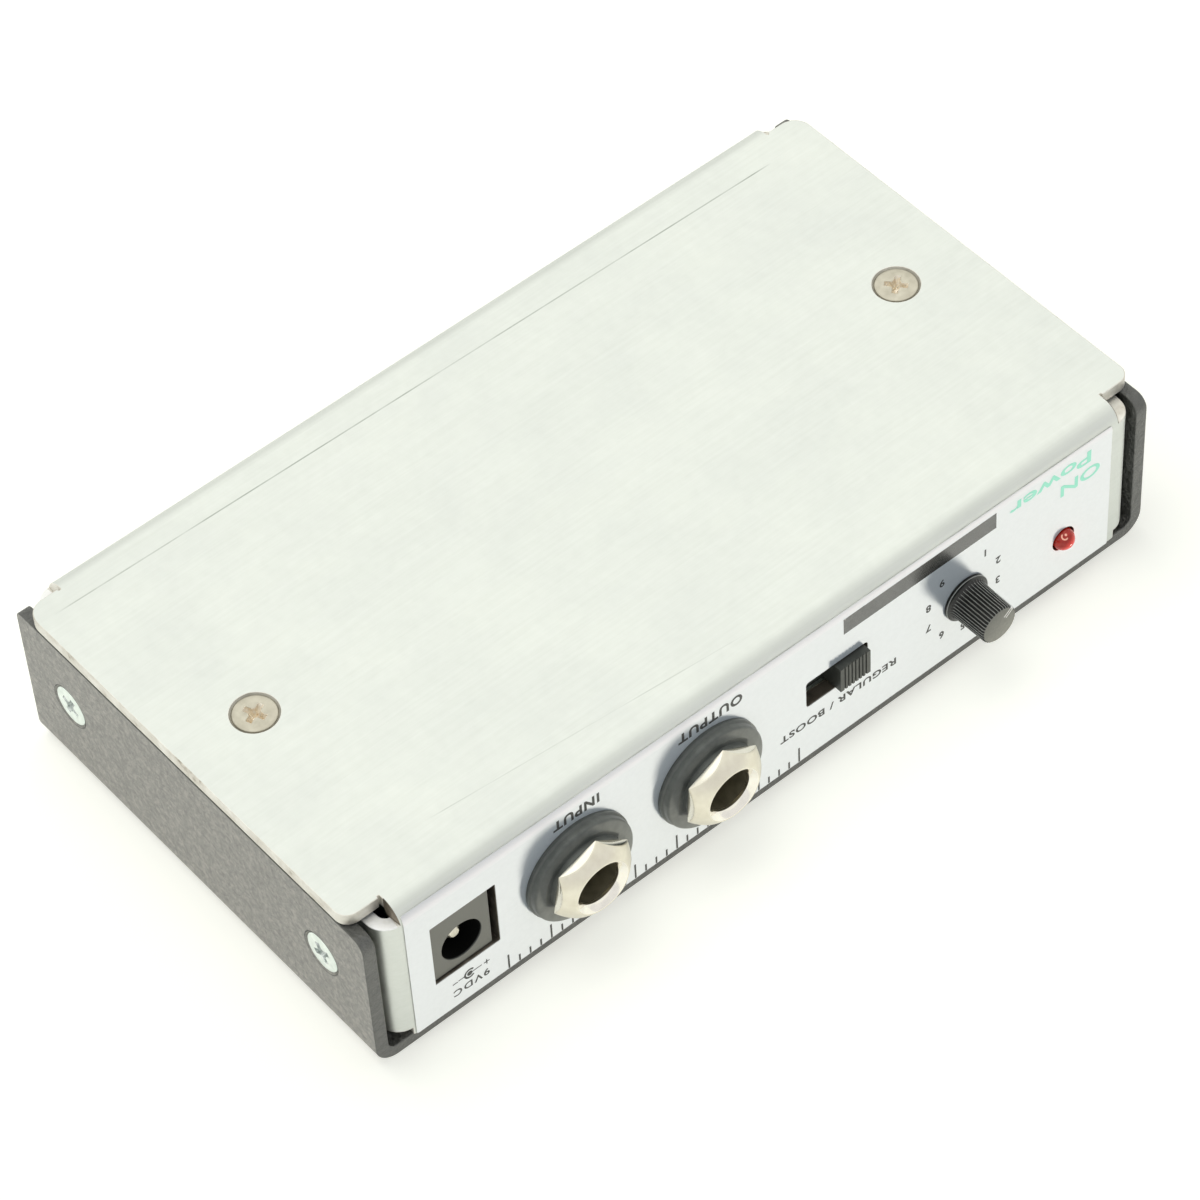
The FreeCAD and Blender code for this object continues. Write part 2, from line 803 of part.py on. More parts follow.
def board_nuts():
    """Two hexagon nuts that hold the board up against its spacers."""
    nuts = []
    for number, side in enumerate((-1, 1), 1):
        blank = prism(f"nut_blank_{number}", S.board_nut_flats, S.board_nut_height)
        core = cylinder(
            f"nut_core_{number}",
            S.screw_size / 2 + S.screw_thread_clearance,
            S.board_nut_height + 2 * ROOM,
            -ROOM,
        )
        nut = boolean("Part::Cut", f"board_nut_{number}", blank, core)
        place(nut, (side * PLATE_SCREW_X, S.plate_screw_y, BOARD_FACE - S.board_nut_height))
        nuts.append(nut)
    return group("board_nuts", nuts)


def can_spots():
    """Where the electrolytic capacitors stand on the board."""
    x, y = S.cover_length * S.can_row_share, BOARD_BACK - S.can_row_inset
    return [(x + i * S.can_row_step, y) for i in range(CAN_COUNT)]


def film_spots():
    """Where the film capacitors stand on the board."""
    x, y = S.cover_length * S.film_row_share, BOARD_BACK - S.film_row_inset
    return [(x, y + i * S.film_row_step) for i in range(FILM_COUNT)]


def resistor_spots():
    """Where the resistors lie on the board."""
    x, y = S.cover_length * S.resistor_row_share, BOARD_BACK - S.resistor_row_inset
    return [(x, y + i * S.resistor_row_step) for i in range(RESISTOR_COUNT)]


def leg_pairs():
    """Every two-legged part on the board: its middle and the distance between its legs."""
    pairs = [(x, y, S.can_pitch) for x, y in can_spots()]
    pairs += [(x, y, S.film_pitch) for x, y in film_spots()]
    pairs += [(x, y, S.resistor_pitch) for x, y in resistor_spots()]
    pairs.append((CHIP_X, DIODE_Y, S.resistor_pitch))
    return pairs


def chip_leg_spots():
    """The eight leg places of the amplifier chip."""
    first = -S.chip_pitch * (CHIP_LEGS_A_SIDE - 1) / 2
    return [
        (CHIP_X + first + i * S.chip_pitch, CHIP_Y + row * S.chip_row / 2)
        for row in (-1, 1)
        for i in range(CHIP_LEGS_A_SIDE)
    ]


def jack_contact_y(back):
    """Place along Y of a plug contact's leg, measured back from the panel."""
    return PANEL_BACK + back


def switch_pin_y():
    """Place along Y of the switch's three pins."""
    return PANEL_BACK + S.shell_depth + S.wire_bend


def pot_pin_y():
    """Place along Y of the control's three pins."""
    return PANEL_BACK + S.pot_plate + S.pot_case_depth + S.wire_bend


def lamp_leg_y():
    """Place along Y of the lamp's two legs."""
    return LABEL_FRONT - S.lamp_stand + S.lamp_length + S.lamp_leg_run


def inlet_front():
    """The inlet's front face along Y."""
    return PANEL_FRONT + S.inlet_recess


def board_holes():
    """Every hole in the board, each at the leg, pin or screw that goes through it."""
    holes = [Circle(side * PLATE_SCREW_X, S.plate_screw_y, HOLE_RADIUS) for side in (-1, 1)]
    holes += [Circle(x, y, WIRE_HOLE) for x, y in chip_leg_spots()]
    for x, y, pitch in leg_pairs():
        holes += [Circle(x + side * pitch / 2, y, WIRE_HOLE) for side in (-1, 1)]
    for x in (INPUT_X, OUTPUT_X):
        for back in (S.tip_contact_back, S.sleeve_contact_back):
            y = jack_contact_y(back) + S.contact_sheet / 2
            holes.append(Circle(x, y, S.contact_width / 2 + S.pin_clearance))
    for i in (-1, 0, 1):
        holes.append(Circle(SWITCH_X + i * S.contact_pitch, switch_pin_y(), WIRE_HOLE))
        holes.append(Circle(POT_X + i * S.can_pitch, pot_pin_y(), WIRE_HOLE))
    for side in (-1, 1):
        leg = S.slider_length / 2 + S.lever_travel / 2 + S.slider_gap + S.shell_sheet / 2
        holes.append(
            Circle(SWITCH_X + side * leg, PANEL_BACK + S.shell_depth / 2, LEG_HOLE)
        )
        holes.append(
            Circle(
                POT_X + side * (S.pot_width / 2 - S.pot_leg / 2),
                PANEL_BACK + S.pot_plate / 2,
                LEG_HOLE,
            )
        )
        holes.append(
            Circle(LAMP_X + side * S.lamp_leg_pitch / 2, lamp_leg_y(), WIRE_HOLE)
        )
    holes.append(
        Circle(INLET_X, inlet_front() + S.inlet_depth + S.inlet_terminal_sheet / 2,
               S.inlet_spring_width / 2 + S.pin_clearance)
    )
    holes.append(
        Circle(INLET_X, inlet_front() + SPRING_END,
               S.inlet_spring_width / 2 + S.pin_clearance)
    )
    return holes


def circuit_board():
    """The board, hung face down, with a drilled hole for each leg."""
    body = new_body("circuit_board")
    half = HALF_FOLD - S.board_end_gap
    sheet = rectangle(-half, half, BOARD_FRONT, BOARD_BACK, S.board_corner)
    block(body, "board_sheet", "z", [sheet], BOARD_FACE, BOARD_TOP)
    cut(body, "board_holes", "z", board_holes(), BOARD_FACE - ROOM, BOARD_TOP + ROOM)
    return body


def power_inlet():
    """The inlet's moulded body, centre pin, and the spring and terminal of its two contacts."""
    front = inlet_front()
    spot = (INLET_X, front, INLET_Z)
    half, top = S.inlet_width / 2, S.inlet_axis_drop
    foot = top - S.inlet_height
    body = new_body("inlet_body")
    block(body, "front_block", "y", [rectangle(-half, half, foot, top)],
          as_size(0), S.inlet_block_depth)
    barrel = S.inlet_barrel_radius
    rear = [(-barrel, top), (-barrel, -barrel, barrel * ROUNDING), (barrel, -barrel, barrel * ROUNDING),
            (barrel, top)]
    block(body, "rear_block", "y", [rear], S.inlet_block_depth, S.inlet_depth)
    bore = Circle(0, 0, S.inlet_bore_radius)
    cut(body, "plug_bore", "y", [bore], -ROOM, S.inlet_bore_depth)
    pin_hole = Circle(0, 0, S.inlet_shank_radius)
    cut(body, "pin_hole", "y", [pin_hole], S.inlet_bore_depth - ROOM, S.inlet_depth + ROOM)
    width, room = S.inlet_spring_width / 2, S.inlet_spring_room
    spring_high = S.inlet_bore_radius + S.inlet_spring_sheet + room
    trench = rectangle(-width - room, width + room, as_size(0), spring_high)
    cut(body, "spring_trench", "y", [trench], S.inlet_spring_start, S.inlet_bore_depth)
    slit = rectangle(-width - room, width + room, S.inlet_bore_radius, spring_high)
    leg_end = SPRING_END + S.inlet_spring_sheet
    cut(body, "spring_slit", "y", [slit], S.inlet_bore_depth - room, leg_end + room)
    shaft = rectangle(-width - room, width + room, SPRING_END - room, leg_end + room)
    cut(body, "leg_shaft", "z", [shaft], S.inlet_bore_radius, top + ROOM)
    place(body, spot)

    pin = new_body("inlet_pin")
    radius, tip = S.inlet_pin_radius, S.inlet_pin_tip
    length = S.inlet_depth - S.inlet_pin_recess
    shank, seat = S.inlet_shank_radius, S.inlet_depth - S.inlet_bore_depth
    turned(pin, "turned_pin", [
        (0, 0), (shank, 0), (shank, seat), (radius, seat), (radius, length - tip),
        (radius - tip, length), (0, length),
    ])
    place(pin, (INLET_X, front + S.inlet_depth, INLET_Z), FACE_FRONT)

    tail = S.inlet_axis_drop + S.board_sheet + S.pin_tail
    terminal = new_body("inlet_terminal")
    behind = S.inlet_depth
    block(terminal, "terminal_strip", "y", [rectangle(-width, width, -radius - width, tail)],
          behind, behind + S.inlet_terminal_sheet)
    place(terminal, spot)

    spring = new_body("inlet_spring")
    low, high = S.inlet_bore_radius, S.inlet_bore_radius + S.inlet_spring_sheet
    start = S.inlet_spring_start + room
    block(spring, "spring_strip", "x", [[
        (start, low), (leg_end, low), (leg_end, tail), (SPRING_END, tail),
        (SPRING_END, high), (start, high),
    ]], -width, width)
    place(spring, spot)
    return [body, pin, terminal, spring]




def plug_contact(name, x, back, width):
    """Leaf contact: a leg up through the board and a kinked leaf that bears on the plug."""
    body = new_body(name)
    sheet = S.contact_sheet
    top = S.jack_axis_drop + S.board_sheet + S.pin_tail
    bear = S.plug_bore_radius - S.contact_press
    lift = bear + S.contact_rise
    run = S.contact_run
    block(body, name + "_strip", "x", [[
        (0, top),
        (sheet, top),
        (sheet, lift, 2 * sheet),
        (-run * 2 / 3, bear),
        (-run, bear + S.contact_rise / 2),
        (-run, bear + sheet + S.contact_rise / 2),
        (-run * 2 / 3, bear + sheet),
        (0, lift + sheet, sheet),
    ]], -width / 2, width / 2)
    place(body, (x, jack_contact_y(back), JACK_Z))
    return body


def plug_socket(name, x, nut_turn):
    """One plug socket: moulded body, collar, nut and both contacts."""
    half, top = S.jack_width / 2, S.jack_axis_drop
    foot = top - S.jack_height
    body = new_body(f"{name}_jack_body")
    shell = [(-half, top), (-half, foot, S.jack_corner), (half, foot, S.jack_corner), (half, top)]
    block(body, "housing", "y", [shell], as_size(0), S.jack_depth)
    nut_foot = LABEL_FRONT - S.collar_height - S.collar_boss_height
    nose_front = nut_foot - S.nut_height + S.nut_bevel + S.nut_lip
    nose = PANEL_BACK - nose_front
    block(body, "threaded_nose", "y", [Circle(0, 0, S.jack_nose_radius)], -nose, as_size(0))
    bore = Circle(0, 0, S.plug_bore_radius)
    cut(body, "plug_bore", "y", [bore], -nose - ROOM, S.throat_length)
    room = rectangle(
        -S.chamber_width / 2,
        S.chamber_width / 2,
        S.throat_length,
        S.throat_length + S.chamber_length,
    )
    cut(body, "contact_chamber", "z", [room], foot + S.chamber_floor, top + ROOM)
    slot = rectangle(
        -S.contact_width / 2 - S.pin_clearance,
        S.contact_width / 2 + S.pin_clearance,
        S.tip_contact_back - S.pin_clearance,
        S.tip_contact_back + S.contact_sheet + S.pin_clearance,
    )
    cut(body, "tip_leg_slot", "z", [slot], as_size(0), top + ROOM)
    place(body, (x, PANEL_BACK, JACK_Z))

    collar = new_body(f"{name}_jack_collar")
    rim, lip, high = S.collar_radius, S.collar_lip, S.collar_height
    shoulder = high - S.collar_dome_drop
    turned(collar, "turned_collar", [
        (SPIGOT_HOLE, 0),
        (rim, 0),
        (rim, lip),
        (rim - S.collar_step, lip + S.collar_step),
        (rim - S.collar_step, shoulder, S.collar_shoulder),
        (S.collar_dome_radius, high),
        (S.collar_boss_radius, high),
        (S.collar_boss_radius, high + S.collar_boss_height),
        (SPIGOT_HOLE, high + S.collar_boss_height),
    ])
    place(collar, (x, LABEL_FRONT, JACK_Z), FACE_FRONT)

    nut = jack_nut(f"{name}_jack_nut")
    turn = FACE_FRONT.multiply(FreeCAD.Rotation(FreeCAD.Vector(0, 0, 1), nut_turn.value))
    place(nut, (x, nut_foot, JACK_Z), turn)

    tip = plug_contact(f"{name}_jack_tip_contact", x, S.tip_contact_back, S.contact_width)
    sleeve = plug_contact(f"{name}_jack_sleeve_contact", x, S.sleeve_contact_back, S.contact_width)
    return [body, collar, nut, tip, sleeve]


def jack_nut(name):
    """Plated nut: a hexagon cut by a dome, a bevelled mouth, and a spigot into the panel."""
    hexagon = prism(name + "_hexagon", S.nut_flats, S.nut_height)
    dome = doc.addObject("Part::Sphere", name + "_dome")
    bind(dome, "Radius", S.nut_dome)
    bind(dome, "Placement.Base.z", -S.nut_dome_drop)
    cap = boolean("Part::Common", name + "_cap", hexagon, dome)
    spigot = cylinder(name + "_spigot", S.nut_spigot_radius,
                      S.nut_spigot_length, -S.nut_spigot_length)
    blank = boolean("Part::Fuse", name + "_blank", cap, spigot)
    lip_back = S.nut_height - S.nut_bevel - S.nut_lip
    thread = cylinder(name + "_thread", S.jack_nose_radius + S.nut_thread_gap,
                      lip_back + S.nut_spigot_length + ROOM, -S.nut_spigot_length - ROOM)
    hollow = boolean("Part::Cut", name + "_hollow", blank, thread)
    bore = cylinder(name + "_bore", S.plug_bore_radius, S.nut_height + ROOM)
    ring = boolean("Part::Cut", name + "_ring", hollow, bore)
    bevel = doc.addObject("Part::Cone", name + "_bevel")
    bind(bevel, "Radius1", S.plug_bore_radius)
    bind(bevel, "Radius2", S.plug_bore_radius + S.nut_bevel)
    bind(bevel, "Height", S.nut_bevel)
    bind(bevel, "Placement.Base.z", S.nut_height - S.nut_bevel)
    nut = boolean("Part::Cut", name, ring, bevel)
    nut.Label = name
    return nut


def slide_switch():
    """Steel shell with legs, sliding lever and bridge, and the wafer with its three pins."""
    sheet, gap = S.shell_sheet, S.slider_gap
    inner_x = S.slider_length / 2 + S.lever_travel / 2 + gap
    inner_z = S.slider_height / 2 + gap
    outer_x, outer_z = inner_x + sheet, inner_z + sheet
    spot = (SWITCH_X, PANEL_BACK, SWITCH_Z)
    top = S.switch_axis_drop

    shell = new_body("switch_shell")
    block(shell, "can", "y", [rectangle(-outer_x, outer_x, -outer_z, outer_z, sheet)],
          as_size(0), S.shell_depth)
    cut(shell, "can_room", "y", [rectangle(-inner_x, inner_x, -inner_z, inner_z)],
        sheet, S.shell_depth + ROOM)
    window_x = S.lever_width / 2 + S.lever_travel / 2 + S.lever_end_gap
    window_z = S.lever_height / 2 + gap
    cut(shell, "lever_window", "y", [rectangle(-window_x, window_x, -window_z, window_z)],
        -ROOM, sheet + gap)
    leg_y = S.shell_depth / 2
    for number, side in enumerate((-1, 1), 1):
        low, high = sorted_pair(side, inner_x, outer_x)
        strip = rectangle(leg_y - S.shell_leg / 2, leg_y + S.shell_leg / 2,
                          outer_z - sheet * 2, top + S.board_sheet + S.pin_tail)
        block(shell, f"leg_{number}", "x", [strip], low, high)
    place(shell, spot)

    slider = new_body("switch_slider")
    rest = SWITCH_X + S.lever_travel / 2
    half_slider, half_z = S.slider_length / 2, S.slider_height / 2
    back_of_front = sheet + gap
    block(slider, "slider_plate", "y", [rectangle(-half_slider, half_slider, -half_z, half_z)],
          back_of_front, back_of_front + S.slider_sheet)
    tip = -(S.chassis_sheet + S.label_sheet + S.lever_stand)
    half_lever = S.lever_width / 2
    high_lever = S.lever_height / 2
    block(slider, "lever", "y", [rectangle(-half_lever, half_lever, -high_lever, high_lever)],
          tip, back_of_front)
    first = -S.lever_rib_pitch * (LEVER_GROOVES - 1) / 2
    grooves = []
    for i in range(LEVER_GROOVES):
        middle = first + i * S.lever_rib_pitch
        grooves.append(rectangle(middle - S.lever_rib_groove / 2, middle + S.lever_rib_groove / 2,
                                 -high_lever - ROOM, high_lever + ROOM))
    cut(slider, "lever_grooves", "y", grooves, tip - ROOM, tip + S.lever_rib_depth)
    place(slider, (rest, PANEL_BACK, SWITCH_Z))

    bridge = new_body("switch_bridge")
    seat = back_of_front + S.slider_sheet
    half_bridge = S.contact_pitch / 2 + S.contact_head / 2
    block(bridge, "bridge_strip", "y", [rectangle(-half_bridge, half_bridge, -1, 1)],
          seat, seat + S.bridge_sheet)
    place(bridge, (rest, PANEL_BACK, SWITCH_Z))

    wafer_front = S.shell_depth - S.wafer_sheet
    wafer = new_body("switch_wafer")
    block(wafer, "wafer_sheet", "y", [rectangle(-inner_x, inner_x, -inner_z, inner_z)],
          wafer_front, S.shell_depth)
    head = S.contact_head / 2
    pin_x = [i * S.contact_pitch for i in (-1, 0, 1)]
    cut(wafer, "pin_holes", "y",
        [rectangle(x - head, x + head, -head, head) for x in pin_x],
        wafer_front - ROOM, S.shell_depth + ROOM)
    place(wafer, spot)

    pins = []
    tail = top + S.board_sheet + S.pin_tail
    head_front = seat + S.bridge_sheet + gap
    wire = S.wire_side / 2
    leg = S.shell_depth + S.wire_bend
    for number, x in enumerate(pin_x, 1):
        pin = new_body(f"switch_pin_{number}")
        bent = [(head_front, -wire), (leg + wire, -wire), (leg + wire, tail), (leg - wire, tail),
                (leg - wire, wire), (head_front, wire)]
        block(pin, f"bent_pin_{number}", "x", [bent], -wire, wire)
        place(pin, (SWITCH_X + x, PANEL_BACK, SWITCH_Z))
        pins.append(pin)
    return [shell, slider, bridge, wafer, group("switch_pins", pins)]


def rotary_control():
    """Die-cast bushing, case, shaft with its rotor, wiper, resistive track and pins."""
    half_x, half_z = S.pot_width / 2, S.pot_height / 2
    top = S.pot_axis_drop
    tail = top + S.board_sheet + S.pin_tail
    spot = (POT_X, PANEL_BACK, POT_Z)
    shaft_hole = S.pot_shaft_radius + S.pot_shaft_gap
    plate = S.pot_plate

    bushing = new_body("pot_bushing")
    block(bushing, "face_plate", "y", [rectangle(-half_x, half_x, -half_z, half_z, S.wire_bend)],
          as_size(0), plate)
    nose = S.chassis_sheet + S.label_sheet - S.pot_nose_back
    block(bushing, "nose", "y", [Circle(0, 0, S.pot_nose_radius)], -nose, as_size(0))
    legs = [rectangle(*sorted_pair(side, half_x - S.pot_leg, half_x), as_size(0), tail)
            for side in (-1, 1)]
    block(bushing, "legs", "y", legs, as_size(0), plate)
    cut(bushing, "shaft_hole", "y", [Circle(0, 0, shaft_hole)], -nose - ROOM, plate + ROOM)
    place(bushing, spot)

    back = plate + S.pot_case_depth
    cavity = S.rotor_radius + S.rotor_room
    track_front = back - S.track_sheet
    case = new_body("pot_case")
    block(case, "case_block", "y", [rectangle(-half_x, half_x, -half_z, half_z, S.wire_bend)],
          plate, back)
    cut(case, "rotor_room", "y", [Circle(0, 0, cavity)], plate - ROOM, back + ROOM)
    place(case, spot)

    track = new_body("pot_track")
    block(track, "track_disc", "y", [Circle(0, 0, cavity)], track_front, back)
    place(track, spot)

    wiper_back = track_front - S.wiper_gap
    rotor_back = wiper_back - S.wiper_sheet
    rotor_front = rotor_back - S.rotor_sheet
    knob_foot = S.chassis_sheet + S.label_sheet + S.knob_gap
    shaft_tip = knob_foot + S.knob_length - S.knob_cap
    shaft = new_body("pot_shaft")
    block(shaft, "rotor", "y", [Circle(0, 0, S.rotor_radius)], rotor_front, rotor_back)
    block(shaft, "spindle", "y", [Circle(0, 0, S.pot_shaft_radius)], -shaft_tip, rotor_front)
    place(shaft, spot)

    wiper = new_body("pot_wiper")
    ring = S.wiper_radius - 2 * S.wiper_sheet
    block(wiper, "wiper_ring", "y", [Circle(0, 0, S.wiper_radius)], rotor_back, wiper_back)
    window = [(0, 0), (ring, 0), (ring, ring * ROUNDING), (0, ring * ROUNDING)]
    cut(wiper, "wiper_window", "y",
        [[(x - ring / 2, y - ring / 2) for x, y in window]], rotor_back - ROOM, wiper_back + ROOM)
    place(wiper, spot)

    pins = []
    wire = S.wire_side / 2
    leg = back + S.wire_bend
    for number, step in enumerate((-1, 0, 1), 1):
        pin = new_body(f"pot_pin_{number}")
        bent = [(back, -wire), (leg + wire, -wire), (leg + wire, tail), (leg - wire, tail),
                (leg - wire, wire), (back, wire)]
        block(pin, f"bent_pin_{number}", "x", [bent], -wire, wire)
        place(pin, (POT_X + step * S.can_pitch, PANEL_BACK, POT_Z))
        pins.append(pin)
    return [bushing, case, track, shaft, wiper, group("pot_pins", pins)]


def level_knob():
    """Small moulded knob: a round skirt, and a body with fine flutes from end to end."""
    body = new_body("level_knob")
    edge, skirt_edge = S.knob_edge, S.knob_skirt_edge
    radius, length, skirt = S.knob_radius, S.knob_length, S.knob_skirt
    turned(body, "turned_knob", [
        (0, 0),
        (S.knob_skirt_radius, 0),
        (S.knob_skirt_radius, skirt - skirt_edge),
        (S.knob_skirt_radius - skirt_edge, skirt),
        (radius, skirt),
        (radius, length - edge),
        (radius - edge, length),
        (0, length),
    ])
    flute = cut(body, "flute", "z", [Circle(radius, 0, S.flute_radius)], skirt, length + ROOM)
    flutes = body.newObject("PartDesign::PolarPattern", "flutes")
    flutes.Originals = [flute]
    flutes.Axis = (body.Origin.OriginFeatures[2], [""])
    flutes.Angle = FULL_TURN
    bind(flutes, "Occurrences", S.flute_count)
    body.Tip = flutes
    cut(body, "shaft_socket", "z", [Circle(0, 0, S.pot_shaft_radius)], -ROOM, length - S.knob_cap)
    place(body, (POT_X, LABEL_FRONT - S.knob_gap, POT_Z), FACE_FRONT)
    return body


def lamp():
    """Three-millimetre lamp: domed lens with its flange, and two bent legs to the board."""
    lens = new_body("lamp_lens")
    radius, length = S.lamp_radius, S.lamp_length
    turned(lens, "turned_lens", [
        (0, 0),
        (S.lamp_flange_radius, 0),
        (S.lamp_flange_radius, S.lamp_flange),
        (radius, S.lamp_flange),
        (radius, length, radius * DOME_SHARE),
        (0, length),
    ])
    back = LABEL_FRONT - S.lamp_stand + length
    place(lens, (LAMP_X, back, LAMP_Z), FACE_FRONT)
    legs = []
    wire, run = S.wire_side / 2, S.lamp_leg_run
    tail = S.lamp_axis_drop + S.board_sheet + S.pin_tail
    for number, side in enumerate((-1, 1), 1):
        leg = new_body(f"lamp_leg_{number}")
        bent = [
            (0, -wire), (run + wire, -wire, S.wire_bend + S.wire_side), (run + wire, tail),
            (run - wire, tail), (run - wire, wire, S.wire_bend), (0, wire),
        ]
        block(leg, f"bent_leg_{number}", "x", [bent], -wire, wire)
        place(leg, (LAMP_X + side * S.lamp_leg_pitch / 2, back, LAMP_Z))
        legs.append(leg)
    return [lens, group("lamp_legs", legs)]


def amplifier_chip():
    """Eight-leg amplifier chip: moulded block with a notch, and its legs."""
    chip = new_body("amplifier_chip")
    half, side = S.chip_length / 2, S.chip_width / 2
    top = -S.chip_lift
    block(chip, "chip_block", "z", [rectangle(-half, half, -side, side)],
          top - S.chip_height, top)
    notch = [Circle(-half, 0, S.chip_leg_sheet * 2)]
    cut(chip, "end_notch", "z", notch, top - S.chip_height - ROOM,
        top - S.chip_height + S.chip_leg_sheet)
    place(chip, (CHIP_X, CHIP_Y, BOARD_FACE))
    legs = []
    wire, thin = S.wire_side / 2, S.chip_leg_sheet / 2
    middle = -S.chip_lift - S.chip_height / 2
    for number, (x, y) in enumerate(chip_leg_spots(), 1):
        leg = new_body(f"chip_leg_{number}")
        face = -1 if number <= CHIP_LEGS_A_SIDE else 1
        inner = S.chip_row / 2 - side
        tail = S.board_sheet + S.pin_tail
        bent = [
            (face * thin, tail), (-face * thin, tail), (-face * thin, middle - thin * 2),
            (-face * inner, middle - thin * 2), (-face * inner, middle - thin * 4),
            (face * thin, middle - thin * 4),
        ]
        block(leg, f"bent_leg_{number}", "x", [bent], -wire, wire)
        place(leg, (x, y, BOARD_FACE))
        legs.append(leg)
    return [chip, group("chip_legs", legs)]


def board_parts():
    """Capacitors, resistors and diode hung under the board, and all of their legs."""
    cans = []
    radius, bead, tall = S.can_radius, S.can_bead, S.can_height
    for number, (x, y) in enumerate(can_spots(), 1):
        can = new_body(f"can_{number}")
        turned(can, f"turned_can_{number}", [
            (0, 0), (radius, 0), (radius, -bead * 4), (radius - bead, -bead * 5),
            (radius, -bead * 6), (radius, -tall + bead), (radius - bead, -tall), (0, -tall),
        ])
        place(can, (x, y, BOARD_FACE))
        cans.append(can)
    films = []
    for number, (x, y) in enumerate(film_spots(), 1):
        film = new_body(f"film_{number}")
        half, side = S.film_length / 2, S.film_width / 2
        block(film, f"film_block_{number}", "z",
              [rectangle(-half, half, -side, side, S.film_corner)], -S.film_height, as_size(0))
        place(film, (x, y, BOARD_FACE))
        films.append(film)
    resistors = []
    waist, full, end = S.resistor_waist, S.resistor_radius, S.resistor_end
    for number, (x, y) in enumerate(resistor_spots(), 1):
        resistor = new_body(f"resistor_{number}")
        half = S.resistor_length / 2
        turned(resistor, f"turned_resistor_{number}", [
            (0, -half), (full, -half), (full, -half + end), (waist, -half + end + end / 4),
            (waist, half - end - end / 4), (full, half - end), (full, half), (0, half),
        ])
        place(resistor, (x, y, BOARD_FACE - S.resistor_lift), FACE_RIGHT)
        resistors.append(resistor)
    diode = new_body("protection_diode")
    half = S.diode_length / 2
    turned(diode, "turned_diode", [
        (0, -half), (S.diode_radius, -half), (S.diode_radius, half), (0, half),
    ])
    place(diode, (CHIP_X, DIODE_Y, BOARD_FACE - S.resistor_lift), FACE_RIGHT)
    return [
        group("electrolytic_capacitors", cans),
        group("film_capacitors", films),
        group("resistors", resistors),
        diode,
        component_legs(),
    ]


def component_legs():
    """Straight legs of the capacitors, and bent ones of the resistors and the diode."""
    legs = []
    wire = S.wire_side / 2
    tail = S.board_sheet + S.pin_tail
    for x, y, pitch in leg_pairs():
        for side in (-1, 1):
            number = len(legs) + 1
            leg = new_body(f"leg_{number}")
            if pitch.text == S.resistor_pitch.text:
                body_half = S.diode_length if y.text == DIODE_Y.text else S.resistor_length
                reach = side * (pitch / 2 - body_half / 2)
                low = -S.resistor_lift
                bent = [
                    (side * wire, tail), (-side * wire, tail), (-side * wire, low + wire),
                    (-reach, low + wire), (-reach, low - wire),
                    (side * wire, low - wire, S.wire_side),
                ]
                block(leg, f"bent_{number}", "y", [bent], -wire, wire)
            else:
                block(leg, f"straight_{number}", "z", [rectangle(-wire, wire, -wire, wire)],
                      as_size(0), tail)
            place(leg, (x + side * pitch / 2, y, BOARD_FACE))
            legs.append(leg)
    return group("component_legs", legs)


def build():
    """Makes every piece and gives them back as one list."""
    fill_sheet()
    pieces = [
        bottom_chassis(),
        top_cover(),
        panel_label(),
        cover_screws(),
        plate_screws(),
        board_spacers(),
        board_nuts(),
        circuit_board(),
        level_knob(),
    ]
    pieces += power_inlet()
    pieces += plug_socket("input", INPUT_X, S.input_nut_turn)
    pieces += plug_socket("output", OUTPUT_X, S.output_nut_turn)
    pieces += slide_switch()
    pieces += rotary_control()
    pieces += lamp()
    pieces += amplifier_chip()
    pieces += board_parts()
    doc.recompute()
    return pieces


def check(pieces):
    """Stops on a failed feature, a cut that takes nothing away, or a shape that isn't sound."""
    for item in doc.Objects:
        if {"Invalid", "Error"} & set(item.State):
            raise RuntimeError(f"{item.Name} is {item.State}")
        if item.TypeId in ("PartDesign::Pocket", "PartDesign::Groove"):
            before, after = item.BaseFeature.Shape.Volume, item.Shape.Volume
            if before - after < SMALLEST_CUT:
                raise RuntimeError(f"{item.Name} cuts nothing")
    for piece in pieces:
        if piece.Shape.isNull() or not piece.Shape.isValid():
            raise RuntimeError(f"{piece.Label} has no sound shape")


def write(pieces):
    """Writes each piece to a file of its own and prints what it holds."""
    os.makedirs("parts", exist_ok=True)
    for piece in pieces:
        piece.Shape.exportStep(os.path.join("parts", piece.Label + ".step"))
        box = piece.Shape.BoundBox
        print(f"{piece.Label}: {len(piece.Shape.Solids)} solids, {piece.Shape.Volume:.2f} mm3, "
              f"x {box.XMin:.2f} {box.XMax:.2f}, y {box.YMin:.2f} {box.YMax:.2f}, "
              f"z {box.ZMin:.2f} {box.ZMax:.2f}")


made = build()
check(made)
write(made)
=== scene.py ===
# %% [markdown]
# # A small preamplifier for an electric piano
#
# The real thing is a two-part sheet-metal box. It lies on its black cover, with the bare base
# plate up, and its connectors face the camera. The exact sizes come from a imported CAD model. This
# lesson gives each part the edges, the finish and the small wear that the plain solids lack.

# %% Load the frame and keep its box
import json
import math

import bmesh
import bpy
import numpy as np
from mathutils import Matrix, Vector


